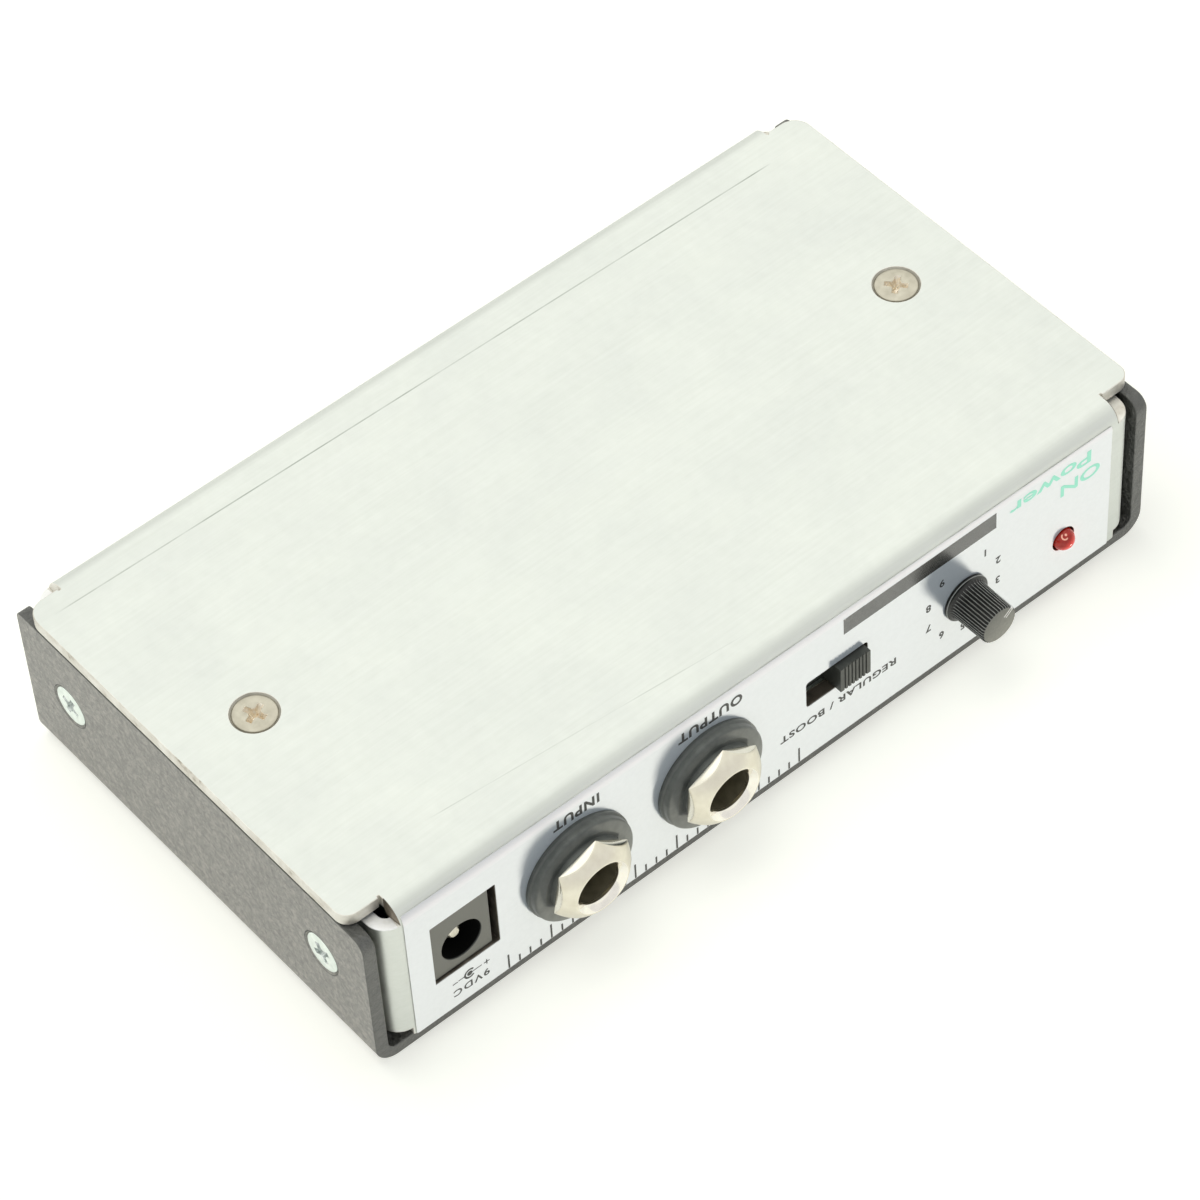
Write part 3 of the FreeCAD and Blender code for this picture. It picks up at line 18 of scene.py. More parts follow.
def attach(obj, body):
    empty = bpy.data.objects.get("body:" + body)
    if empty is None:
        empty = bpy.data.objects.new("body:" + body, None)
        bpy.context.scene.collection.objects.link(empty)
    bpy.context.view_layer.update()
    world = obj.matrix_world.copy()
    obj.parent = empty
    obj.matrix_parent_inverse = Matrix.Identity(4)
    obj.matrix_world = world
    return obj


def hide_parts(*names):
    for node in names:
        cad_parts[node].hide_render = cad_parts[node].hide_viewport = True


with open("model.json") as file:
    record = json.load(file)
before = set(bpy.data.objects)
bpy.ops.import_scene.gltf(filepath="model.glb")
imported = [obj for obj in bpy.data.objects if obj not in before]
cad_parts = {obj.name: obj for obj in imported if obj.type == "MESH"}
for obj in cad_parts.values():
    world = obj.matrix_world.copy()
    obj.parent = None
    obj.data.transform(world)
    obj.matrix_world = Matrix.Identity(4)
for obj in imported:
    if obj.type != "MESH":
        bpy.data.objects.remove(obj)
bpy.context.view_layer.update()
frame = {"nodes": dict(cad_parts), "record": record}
MM = 0.001
print("CAD nodes:", len(frame["nodes"]))

# %% [markdown]
# ## Camera
#
# A photograph's perspective can be solved from straight edges that it shows. That gave a long lens
# from a good half metre, looking down by 50 degrees, and a slight roll. A Blender camera looks
# along its own -Z. So it is rolled about Z, tipped up about X and then swung to its azimuth.

# %% The camera
PHOTO_PIXELS, FOCAL_PIXELS = 1200, 4852.19
SENSOR = 36.0
CLIP_NEAR, CLIP_FAR = 0.02, 50.0
CAMERA_SPOT = Vector((-245.153, -324.907, 493.091))
AZIMUTH, ELEVATION, ROLL = np.radians([-37.128, 50.1365, -4.0674]).tolist()


def in_scene(name, data):
    """A new object with this data, linked to the scene."""
    thing = bpy.data.objects.new(name, data)
    bpy.context.scene.collection.objects.link(thing)
    return thing


lens = bpy.data.cameras.new("camera")
lens.sensor_width = SENSOR
lens.lens = FOCAL_PIXELS / PHOTO_PIXELS * SENSOR
lens.clip_start, lens.clip_end = CLIP_NEAR, CLIP_FAR
camera = in_scene("camera", lens)
camera.matrix_world = (
    Matrix.Translation(CAMERA_SPOT * MM) @ Matrix.Rotation(AZIMUTH, 4, "Z")
    @ Matrix.Rotation(math.pi / 2 - ELEVATION, 4, "X") @ Matrix.Rotation(ROLL, 4, "Z"))
bpy.context.scene.camera = camera
bpy.context.scene.view_settings.view_transform = "Standard"
print("focal length", round(lens.lens, 2), "mm")

# %% [markdown]
# ## Nodes and colours
#
# Every finish below is a small tree of shader nodes. One helper turns a hex colour as a painter
# would write it into the linear numbers that the shader wants, and one adds a node with its
# settings and links. The others are short names for the nodes that come back most often.


# %% Helpers for materials
def linear(hex_colour):
    """Each sRGB channel c becomes c/12.92 where dark, else ((c + 0.055) / 1.055) to the 2.4."""
    channels = np.array([int(hex_colour[i:i + 2], 16) for i in (1, 3, 5)]) / 255
    bright = ((channels + 0.055) / 1.055) ** 2.4
    return (*np.where(channels <= 0.04045, channels / 12.92, bright).tolist(), 1.0)


def add_node(kind, inputs, tree=None, **settings):
    """Adds a node; an input is a plain value, or an output socket to link to it. The tree is
    the one that the sockets are in, unless it is given."""
    sockets = [value for value in inputs.values() if isinstance(value, bpy.types.NodeSocket)]
    tree = tree or sockets[0].id_data
    node = tree.nodes.new(kind)
    for name, value in settings.items():
        setattr(node, name, value)
    for name, value in inputs.items():
        if value in sockets:
            tree.links.new(value, node.inputs[name])
        else:
            node.inputs[name].default_value = value
    return node


def new_material(name):
    """An empty material, and the Object coordinates of what it is on."""
    material = bpy.data.materials.new(name)
    material.use_nodes = True
    material.node_tree.nodes.clear()
    coordinates = add_node("ShaderNodeTexCoord", {}, material.node_tree)
    return material, coordinates.outputs["Object"]


def ramp(factor, stops):
    """A colour ramp from (place, hex colour) stops."""
    node = add_node("ShaderNodeValToRGB", {"Fac": factor})
    elements = node.color_ramp.elements
    for element, (place, colour) in zip(elements, (stops[0], stops[-1])):
        element.position, element.color = place, linear(colour)
    for place, colour in stops[1:-1]:
        elements.new(place).color = linear(colour)
    return node.outputs["Color"]


def levels(value, low, high, to_low, to_high):
    """Maps a value from one range to another, held at its ends."""
    return add_node("ShaderNodeMapRange", {
        "Value": value, "From Min": low, "From Max": high, "To Min": to_low, "To Max": to_high,
    }).outputs["Result"]


def noise(place, scale, detail=2.0, roughness=0.5, distortion=0.0):
    """The grey of a cloudy pattern with about so many features to the metre."""
    return add_node("ShaderNodeTexNoise", {
        "Vector": place, "Scale": scale, "Detail": detail, "Roughness": roughness,
        "Distortion": distortion,
    }).outputs["Fac"]


def maths(operation, *values):
    """One step of arithmetic on plain values or sockets."""
    node = add_node("ShaderNodeMath", dict(enumerate(values)), operation=operation)
    return node.outputs[0]


def mix_tints(factor, first, second, how="MIX"):
    """Goes from the first colour to the second by the factor."""
    return add_node("ShaderNodeMix", {0: factor, 6: first, 7: second},
                    data_type="RGBA", blend_type=how).outputs[2]


def bump(height, strength, millimetres):
    """Normals as if the height's white stood that far over its black."""
    return add_node("ShaderNodeBump", {
        "Height": height, "Strength": strength, "Distance": millimetres * MM,
    }).outputs["Normal"]


def show(shader):
    """Makes a shader the surface of its material."""
    add_node("ShaderNodeOutputMaterial", {"Surface": shader})


def principled(material, inputs):
    """Gives a material a principled shader with these inputs."""
    show(add_node("ShaderNodeBsdfPrincipled", inputs).outputs[0])
    return material


print("middle grey #808080 is", round(linear("#808080")[0], 3), "in linear light")

# %% [markdown]
# ## Stage
#
# The part lies on a white table in soft light. The table is a big plane whose diffuse white turns
# to pure white at this light level, and still darkens where the box keeps the light off. Away from
# the box it fades to plain white, so that a low view shows no horizon. The world is white to the
# camera and to mirror-like rays, and softer to everything else.

# %% Table and world
TABLE_SIDE = 6.0
TABLE_DROP = 0.02 * MM
FADE_START, FADE_END = 0.2, 0.45
PAPER_WHITE = "#FEFFFA"


def plane(name, corner, across, up):
    """A rectangle from a corner and the two sides that leave it, in metres."""
    corner, across, up = np.array([corner, across, up], float)
    corners = np.array([corner, corner + across, corner + across + up, corner + up])
    mesh = bpy.data.meshes.new(name)
    mesh.from_pydata(corners.tolist(), [], [(0, 1, 2, 3)])
    return in_scene(name, mesh)


def shader(tree, kind, colour, **inputs):
    """A simple shader of one colour."""
    inputs["Color"] = linear(colour)
    return add_node("ShaderNode" + kind, inputs, tree).outputs[0]


def mix_shaders(factor, first, second):
    """Goes from the first shader to the second by the factor."""
    return add_node("ShaderNodeMixShader", {0: factor, 1: first, 2: second}).outputs[0]


def seen_rays(tree):
    """1 for rays from the camera and for rays that a mirror or glass sends on, else 0."""
    path = add_node("ShaderNodeLightPath", {}, tree).outputs
    either = maths("MAXIMUM", path["Is Glossy Ray"], path["Is Transmission Ray"])
    return maths("MAXIMUM", path["Is Camera Ray"], either)


table = plane("table", (-TABLE_SIDE / 2, -TABLE_SIDE / 2, 0), (TABLE_SIDE, 0, 0),
              (0, TABLE_SIDE, 0))
table.location.z = -TABLE_DROP
paint, place = new_material("white table")
tree = paint.node_tree
matte = shader(tree, "BsdfDiffuse", "#A3A5A8")
faint = shader(tree, "BsdfDiffuse", "#D4D4CC")
glow = shader(tree, "Emission", "#FFFFF8", Strength=0.58)
plain_white = shader(tree, "Emission", PAPER_WHITE, Strength=1.0)
near = add_node("ShaderNodeAddShader", {0: faint, 1: glow}).outputs[0]
away = add_node("ShaderNodeVectorMath", {0: place}, operation="LENGTH").outputs["Value"]
faded = mix_shaders(levels(away, FADE_START, FADE_END, 0, 1), near, plain_white)
show(mix_shaders(seen_rays(tree), matte, faded))
table.data.materials.append(paint)

world = bpy.data.worlds.new("studio")
bpy.context.scene.world = world
world.use_nodes = True
tree = world.node_tree
tree.nodes.clear()
white = shader(tree, "Background", PAPER_WHITE, Strength=1.0)
soft = shader(tree, "Background", "#E9F1FC", Strength=0.36)
sky = mix_shaders(seen_rays(tree), soft, white)
add_node("ShaderNodeOutputWorld", {"Surface": sky})
print("table", TABLE_SIDE, "m wide, plain white from", FADE_END, "m on")

# %% [markdown]
# ## Lamps
#
# A large soft box and an overhead lamp behind it light the base plate. The shadows on the
# connector panel run upwards and to the left, so its lamp stands low at the front right and
# shines up through the table. A small lamp at the left lights the left wall. Only the soft box
# shows in mirror-like reflections.


# %% Lamps
def add_lamp(name, spot, aim, size, share, colour, mirrored=False):
    """A square area lamp at a spot in millimetres, turned to look at its aim. Its share is the
    part of full white that it gives a matte surface at its aim that faces it."""
    spot = Vector(spot) * MM
    back = spot - Vector(aim) * MM
    light = bpy.data.lights.new(name, "AREA")
    light.shape = "SQUARE"
    light.size = size * MM
    light.energy = share * (math.pi * back.length) ** 2
    light.color = linear(colour)[:3]
    lamp = in_scene(name, light)
    turn = back.to_track_quat("Z", "Y").to_matrix().to_4x4()
    lamp.matrix_world = Matrix.Translation(spot) @ turn
    lamp.visible_glossy = mirrored
    return lamp


add_lamp("side_fill", (-1500, 150, 95), (-65, 0, 13), 160, 0.4, "#FFFAEE")
add_lamp("soft_box", (250, 420, 1100), (0, 0, 0), 1700, 0.24, "#FFFFFA", mirrored=True)
add_lamp("overhead", (-150, 250, 1000), (0, 0, 0), 700, 0.42, "#FFFEF8")
low_lamp = add_lamp("low_front", (1000, -1400, -1720), (10, -36, 12), 330, 1.3, "#FFF8EE")
not_table = bpy.data.collections.new("lets_low_light_through")
bpy.context.scene.collection.children.link(not_table)
not_table.objects.link(table)
low_lamp.light_linking.blocker_collection = not_table
not_table.collection_objects[0].light_linking.link_state = "EXCLUDE"
print("lamps:", len(bpy.data.lights))

# %% [markdown]
# ## Grey card
#
# The rounded bend above the panel is darker in its lower half, where it mirrors a dimmer part of
# the studio. A card that shows only in reflections stands in front of the box and gives that tone.

# %% Grey card
CARD_CORNER, CARD_WIDTH, CARD_HEIGHT, CARD_TONE = (-1.6, -1.1, 0.03), 3.6, 0.77, 0.87
card = plane("grey_card", CARD_CORNER, (CARD_WIDTH, 0, 0), (0, 0, CARD_HEIGHT))
card.visible_camera = card.visible_diffuse = card.visible_shadow = False
paint, _ = new_material("grey card")
show(shader(paint.node_tree, "Emission", "#FFFFFF", Strength=CARD_TONE))
card.data.materials.append(paint)
print("grey card", CARD_WIDTH, "m wide")

# %% [markdown]
# ## Surfaces from arrays
#
# A smooth piece is a grid of points worked out as whole arrays. Turned pieces are a profile of
# radius against height carried round an axis. Each piece has its place in its mesh, so patterns
# that read Object coordinates stay put. Welding the doubles closes seams and poles.

# %% Helpers for shapes
WELD = 1e-4
FACING = {
    "up": np.eye(3),
    "front": np.array([[1, 0, 0], [0, 0, 1], [0, -1, 0]], float),
    "left": np.array([[0, -1, 0], [0, 0, 1], [-1, 0, 0]], float),
    "right": np.array([[0, 1, 0], [0, 0, 1], [1, 0, 0]], float),
}


def grid_faces(rows, columns, closed):
    """Quads between neighbours of a grid; closed joins the last column to the first."""
    row = np.arange(rows - 1)[:, None]
    column = np.arange(columns if closed else columns - 1)[None, :]
    beside = (column + 1) % columns
    corners = [row * columns + column, row * columns + beside,
               (row + 1) * columns + beside, (row + 1) * columns + column]
    return np.stack(corners, axis=-1).reshape(-1, 4)


def around(radius, height, spot, facing):
    """Points from a radius and a height for each row of a profile and each angle, turned to
    face that way and moved to a spot, and the faces between them."""
    angle = np.linspace(0, 2 * np.pi, radius.shape[1], endpoint=False)
    points = np.stack([radius * np.cos(angle), radius * np.sin(angle), height], axis=-1)
    points = points.reshape(-1, 3) @ FACING[facing] + np.asarray(spot, float)
    return points, grid_faces(*radius.shape, True)


def turned(profile, spot, facing, segments=96, shape=None):
    """A profile of (radius, height) carried round; shape gives a new radius from the radius, the
    height and the angle."""
    profile = np.asarray(profile, float)
    radius, height = np.repeat(profile.T[:, :, None], segments, axis=2)
    if shape is not None:
        radius = shape(radius, height, np.linspace(0, 2 * np.pi, segments, endpoint=False))
    return around(radius, height, spot, facing)


def finish_piece(name, points, faces, material, slot, body="box", nodes=(), crease=35,
                 weighted=False, solid=True, parts=None):
    """Makes a piece from millimetre points and puts it on its body, in place of the CAD nodes
    that it stands for. With several materials, parts gives each face the number of its own."""
    mesh = bpy.data.meshes.new(name)
    mesh.from_pydata((np.asarray(points, float) * MM).tolist(), [], [list(f) for f in faces])
    for one in material if isinstance(material, list) else [material]:
        mesh.materials.append(one)
    if parts is not None:
        mesh.polygons.foreach_set("material_index", np.asarray(parts, np.int32))
    work = bmesh.new()
    work.from_mesh(mesh)
    bmesh.ops.remove_doubles(work, verts=work.verts, dist=WELD * MM)
    if solid:
        bmesh.ops.recalc_face_normals(work, faces=work.faces)
    work.to_mesh(mesh)
    work.free()
    mesh.shade_smooth()
    mesh.set_sharp_from_angle(angle=math.radians(crease))
    piece = in_scene(name, mesh)
    if weighted:
        piece.modifiers.new("even shading", "WEIGHTED_NORMAL").keep_sharp = True
    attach(piece, body)
    if nodes:
        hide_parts(*nodes)
    return piece


def join(*parts):
    """Several (points, faces) put together as one mesh."""
    points, faces, count = [], [], 0
    for some_points, some_faces in parts:
        points.append(np.asarray(some_points))
        faces.extend([corner + count for corner in face] for face in some_faces)
        count += len(some_points)
    return np.concatenate(points), faces


def round_corners(corners, steps=8):
    """An outline through (x, y, radius) corners: an arc of that radius, tangent to both sides."""
    outline = []
    for i, (x, y, radius) in enumerate(corners):
        here = np.array([x, y], float)
        if radius <= 0:
            outline.append(here[None])
            continue
        back = np.array(corners[i - 1][:2]) - here
        on = np.array(corners[(i + 1) % len(corners)][:2]) - here
        back, on = back / np.linalg.norm(back), on / np.linalg.norm(on)
        half = np.arccos(np.clip(back @ on, -1, 1)) / 2
        bisector = (back + on) / np.linalg.norm(back + on)
        centre = here + bisector * radius / np.sin(half)
        first = here + back * radius / np.tan(half) - centre
        last = here + on * radius / np.tan(half) - centre
        t = np.linspace(0, 1, steps + 1)[:, None]
        sweep = np.pi - 2 * half
        arc = (np.sin((1 - t) * sweep) * first + np.sin(t * sweep) * last) / np.sin(sweep)
        outline.append(centre + arc)
    return np.concatenate(outline)


def ring_of(x, y, radius, steps=96):
    """A circle as an outline."""
    angle = np.linspace(0, 2 * np.pi, steps, endpoint=False)
    return np.stack([x + radius * np.cos(angle), y + radius * np.sin(angle)], axis=1)


def box_of(left, right_side, low, high, radius):
    """A rectangle as an outline, rounded by a radius."""
    return round_corners([(left, low, radius), (right_side, low, radius),
                          (right_side, high, radius), (left, high, radius)])


print("a rounded square takes", len(box_of(0, 9, 0, 9, 1)), "points")

# %% [markdown]
# ## Folded sheet
#
# Both halves of the box are cut flat from sheet and then folded. The same two steps work here. A
# filled 2D curve makes the flat pattern, holes and all, with slightly rounded edges. Then numpy
# folds it: past a bend line each point follows an arc whose radius shrinks with its depth in the
# sheet, and past the arc it runs straight on.


# %% Cutting and folding
BEND_STEPS = 13
BEND_MARGIN = 0.06


def mesh_of(curve):
    """The mesh that a curve or a text makes."""
    holder = bpy.data.objects.new("holder", curve)
    mesh = bpy.data.meshes.new_from_object(holder)
    bpy.data.objects.remove(holder)
    bpy.data.curves.remove(curve)
    return mesh


def cut_sheet(outline, holes, sheet, edge):
    """Cuts an outline with holes from sheet; returns a bmesh in millimetres, centred in z."""
    curve = bpy.data.curves.new("pattern", "CURVE")
    curve.dimensions = "2D"
    curve.fill_mode = "BOTH"
    curve.extrude = sheet / 2 - edge
    curve.bevel_depth = edge
    curve.bevel_resolution = 2
    curve.offset = -edge
    for loop in [outline, *holes]:
        spline = curve.splines.new("POLY")
        spline.points.add(len(loop) - 1)
        rows = np.column_stack([loop, np.zeros(len(loop)), np.ones(len(loop))])
        spline.points.foreach_set("co", rows.ravel())
        spline.use_cyclic_u = True
    mesh = mesh_of(curve)
    pattern = bmesh.new()
    pattern.from_mesh(mesh)
    bmesh.ops.remove_doubles(pattern, verts=pattern.verts, dist=WELD)
    bpy.data.meshes.remove(mesh)
    return pattern


def score(pattern, axis, places):
    """Cuts the pattern's faces along straight lines, so that they can bend there."""
    normal = np.eye(3)[axis]
    for place in places:
        parts = list(pattern.verts) + list(pattern.edges) + list(pattern.faces)
        cut = bmesh.ops.bisect_plane(pattern, geom=parts, plane_co=(normal * place).tolist(),
                                     plane_no=normal.tolist(), dist=1e-5)
        for part in cut["geom_cut"]:
            if isinstance(part, bmesh.types.BMEdge):
                part.seam = True


def bend_lines(start, arc):
    """Even lines over a bend, with one more just outside each of its ends, on both halves."""
    lines = start + np.linspace(0, arc, BEND_STEPS)
    lines = np.concatenate([[lines[0] - BEND_MARGIN], lines, [lines[-1] + BEND_MARGIN]])
    return np.concatenate([-lines, lines])


def flat_pattern(outline, holes, sheet, edge, *scores):
    """Cuts a sheet, scores it along (axis, places) lines, and joins the thin triangles between
    them to large faces. Returns the pattern and its corners' u, v and depth below the face."""
    pattern = cut_sheet(outline, holes, sheet, edge)
    for axis, places in scores:
        score(pattern, axis, places)
    bmesh.ops.dissolve_limit(pattern, angle_limit=math.radians(0.2), verts=pattern.verts,
                             edges=pattern.edges, delimit={"SEAM"})
    pattern.verts.index_update()
    u, v, w = np.array([corner.co for corner in pattern.verts], float).T
    return pattern, u, v, sheet / 2 - w


def fold(along, depth, start, radius, angle):
    """Flat up to start, then an arc through the angle, then straight. Depth is measured down
    from the outer face. Gives the place along the first direction and the drop below it."""
    beyond = along - start
    turn = np.clip(beyond / radius, 0, angle)
    straight = np.maximum(beyond - radius * angle, 0)
    reach = radius - depth
    place = start + np.minimum(beyond, 0) + reach * np.sin(turn) + straight * np.cos(turn)
    return place, radius - reach * np.cos(turn) + straight * np.sin(turn)


def folded_piece(name, pattern, points, sheet, materials, node, slot, edges=None, lining=0):
    """Makes a piece from a pattern's faces and its folded points. Its cut edges get the second
    material, or the one that edges gives for their place, and its inner side the lining's."""
    faces = [[corner.index for corner in face.verts] for face in pattern.faces]
    inside = [min(abs(corner.co.z) for corner in face.verts) for face in pattern.faces]
    cut_edge = np.array(inside) < sheet / 2 - WELD
    part = cut_edge * 1
    middles = np.array([face.calc_center_median() for face in pattern.faces])
    part[~cut_edge & (middles[:, 2] < 0)] = lining
    if edges is not None:
        part[cut_edge] = edges(*middles[cut_edge, :2].T)
    pattern.free()
    return finish_piece(name, points, faces, materials, slot, nodes=[node], weighted=True,
                        parts=part)


print("10 mm past the start of a 3 mm bend lies", np.round(fold(10.0, 0, 0, 3, np.pi / 2), 2))

# %% [markdown]
# ## Bare aluminium
#
# Mill-finish aluminium sheet: rolled, wiped with an abrasive pad along its length and never
# coated. It looks almost white under a broad lamp. The rolling leaves faint streaks along X,
# handling leaves cloudy smudges, and the press tool leaves a thin line near each long bend. Cut
# edges are torn, duller and slightly warm.


# %% Aluminium
def line_mark(place, ends, width):
    """1 on a straight line in X and Y between two (x, y) millimetre ends, fading to 0 beside it."""
    (x0, y0), (x1, y1) = ends
    taper = 3 * MM
    length = math.hypot(x1 - x0, y1 - y0) * MM
    on_line = add_node("ShaderNodeMapping", {
        "Vector": place, "Location": (x0 * MM, y0 * MM, 0),
        "Rotation": (0, 0, math.atan2(y1 - y0, x1 - x0)),
    }, vector_type="TEXTURE").outputs[0]
    parts = add_node("ShaderNodeSeparateXYZ", {0: on_line}).outputs
    aside = maths("ABSOLUTE", parts["Y"])
    across = levels(aside, 0.3 * width * MM, width * MM, 1, 0)
    begun = levels(parts["X"], 0, taper, 0, 1)
    ended = levels(parts["X"], length - taper, length, 1, 0)
    return maths("MULTIPLY", maths("MULTIPLY", begun, ended), across)


def aluminium_sheet():
    """Metal whose roughness and tint drift in long streaks and soft clouds."""
    material, place = new_material("mill-finish aluminium")
    along = add_node("ShaderNodeMapping", {"Vector": place, "Scale": (70.0, 2200.0, 2200.0)})
    streaks = noise(along.outputs[0], 1.0, 5.0, 0.6)
    clouds = noise(place, 90.0, 6.0, 0.6)
    spots = noise(place, 700.0, 4.0, 0.6)
    cloud_tint = ramp(clouds, [(0.3, "#D6D9D5"), (0.7, "#DCDFDA")])
    streak_tint = ramp(streaks, [(0.3, "#EDEEEA"), (0.7, "#FFFFFF")])
    tint = mix_tints(0.3, cloud_tint, streak_tint, "MULTIPLY")
    back_line = line_mark(place, ((-62.8, 29.7), (56.3, 28.2)), 0.14)
    front_line = line_mark(place, ((-48.2, -27.0), (-0.3, -31.2)), 0.12)
    lines = maths("MAXIMUM", back_line, maths("MULTIPLY", front_line, 0.4))
    patchy = maths("MULTIPLY", lines, levels(clouds, 0.35, 0.6, 0.25, 1.0))
    return principled(material, {
        "Base Color": mix_tints(patchy, tint, linear("#9FA59D")), "Metallic": 1.0,
        "Roughness": levels(spots, 0.3, 0.7, 0.42, 0.5),
        "Normal": bump(maths("ADD", streaks, spots), 0.15, 0.02),
    })


def sheared_edge(name, stops, metallic=0.8):
    """A cut edge: torn, with dirt in it. Its stops give its tint, mostly duller and warmer than
    the rolled face; some hold painted shade or a painted highlight.
    """
    material, place = new_material(name)
    torn = noise(place, 1500.0, 5.0, 0.65)
    dirt = noise(place, 350.0, 4.0, 0.6)
    return principled(material, {
        "Base Color": ramp(dirt, stops), "Metallic": metallic, "Roughness": 0.5,
        "Normal": bump(torn, 0.5, 0.06),
    })


ALUMINIUM = aluminium_sheet()
SHEARED = sheared_edge("sheared aluminium edge", [(0.28, "#A59E8F"), (0.4, "#D8D4CA"),
                                                  (0.65, "#ECEAE3")])
# Painted highlight: near-white for the cut tops of the two left tabs, which face the light.
TAB_TOP_HIGHLIGHT = sheared_edge("cut tab top with painted highlight", [(0.3, "#EDECE8"), (0.7, "#FFFFFF")], 0.5)
SUNK = sheared_edge("countersunk aluminium", [(0.3, "#99958A"), (0.7, "#C0BCB1")])
# Painted shade: dark tints for the cut edges of the panel's openings and of the bend's ends.
SHADED_EDGE = sheared_edge("sheared edge with painted shade", [(0.35, "#4C463B"), (0.65, "#8A8072")], 0.5)
print("five finishes of aluminium")

# %% [markdown]
# ## Chassis measures
#
# One sheet makes the base plate, the connector panel, the back wall and four corner tabs. The
# measures are the CAD's, in millimetres. The tabs turn by a little less than a right angle, so
# they lean out to meet the cover.

# %% Measures of the chassis and its panel
SHEET, BEND = 1.85, 3.0
PLATE_TOP, FACE_Y = 27.25, 35.7
EAR_END, FOLD_END = 65.0, 59.5
RELIEF, RELIEF_CORNER = 0.3, 0.1
ARC = BEND * np.pi / 2
BEND_START = FACE_Y - BEND
BEND_Z = PLATE_TOP - BEND
WALL_LINE = BEND_START + ARC
JACKS = {"input": -32.8, "output": -11.4}
JACK_Z = 13.4
KNOB_AXIS = (32.5, 11.9)
LAMP_AXIS = (50.05, 9.5)
PLATE_SCREW_X, PLATE_SCREW_Y = 53.5, 0.2
WALL_SCREW_Y, WALL_SCREW_Z = 25.9, 14.3
SINK_RADIUS = 3.2
SIDES = (-1, 1)
CORNERS = [(side, end) for side in SIDES for end in SIDES]


def down_wall(height):
    """Where a height of a wall lies on the flat pattern: past the arc, as far below the bend."""
    return WALL_LINE + BEND_Z - height


FOOT, TAB_HIGH, TAB_LOW = down_wall(2.1), down_wall(24.9), down_wall(3.6)
TAB_TURN = np.pi / 2 - math.atan2(0.8, 14.7)
TAB_START = 62.25 - BEND * math.tan(TAB_TURN / 2)
TAB_FLAT = TAB_START + BEND * TAB_TURN
TAB_END = TAB_FLAT + 11.88
THREAD_U, THREAD_V, THREAD_RADIUS = TAB_FLAT + 6.97, down_wall(WALL_SCREW_Z), 1.52
print("flat chassis", round(2 * TAB_END, 1), "x", round(2 * FOOT, 1), "mm")

# %% [markdown]
# ## Chassis, cut flat
#
# A quarter of the outline serves for all four corners: from the end of the ear over the relief
# notch at the bend's end and round the tab to the foot of the wall. The panel's openings are
# measured on the upright panel.


# %% The chassis, cut flat
def panel_holes(grow=0.0):
    """The panel's openings as (x, z) outlines, made larger by a margin: the inlet, the two plug
    sockets, the switch, the knob's shaft and the lamp."""
    return [
        box_of(-55.5 - grow, -45.35 + grow, 9.05 - grow, 20.4 + grow, 0.15),
        *[ring_of(x, JACK_Z, 5.35 + grow) for x in JACKS.values()],
        box_of(5.2 - grow, 15.6 + grow, 12.0 - grow, 16.72 + grow, 0.5),
        ring_of(*KNOB_AXIS, 3.5 + grow),
        ring_of(*LAMP_AXIS, 1.9 + grow, 64),
    ]


def chassis_quarter(ear, corner):
    """A quarter of the flat outline, from the end of the ear to the foot of the wall."""
    return [(EAR_END, ear, corner), (FOLD_END + RELIEF, ear, RELIEF_CORNER),
            (FOLD_END + RELIEF, ear - RELIEF, RELIEF_CORNER),
            (FOLD_END, ear - RELIEF, RELIEF_CORNER), (FOLD_END, TAB_HIGH, 0),
            (TAB_END, TAB_HIGH, 0.4), (TAB_END, TAB_LOW, 0.4), (FOLD_END, TAB_LOW, 0),
            (FOLD_END, FOOT, 0.3)]


back, front = chassis_quarter(32.9, 2.7), chassis_quarter(32.2, 2.0)
corners = back + [(-x, y, r) for x, y, r in reversed(back)]
corners += [(-x, -y, r) for x, y, r in front] + [(x, -y, r) for x, y, r in reversed(front)]
holes = [np.column_stack([loop[:, 0], -down_wall(loop[:, 1])]) for loop in panel_holes()]
holes += [ring_of(side * PLATE_SCREW_X, PLATE_SCREW_Y, SINK_RADIUS) for side in SIDES]
holes += [ring_of(side * THREAD_U, end * THREAD_V, THREAD_RADIUS, 32) for side, end in CORNERS]
tab_lines = np.concatenate([FOLD_END - np.array([1.6, 1.1, 0.7, 0.4, 0.2]),
                            TAB_START + np.linspace(0, BEND * TAB_TURN, 11)])
pattern, u, v, depth = flat_pattern(
    round_corners(corners, 10), holes, SHEET, 0.12,
    (1, bend_lines(BEND_START, ARC)), (0, np.concatenate([-tab_lines, tab_lines])))
print("flat pattern:", len(pattern.faces), "faces,", len(holes), "holes")

# %% [markdown]
# ## Chassis, folded
#
# The walls fold down and the tabs fold back round the corners. Pressing squeezes the metal out
# sideways at the ends of a bend. The cut edges of the panel's openings and of the bend's ends are
# painted dark, a painted shade. The cut tops of the two left tabs are painted near-white, a
# painted highlight.

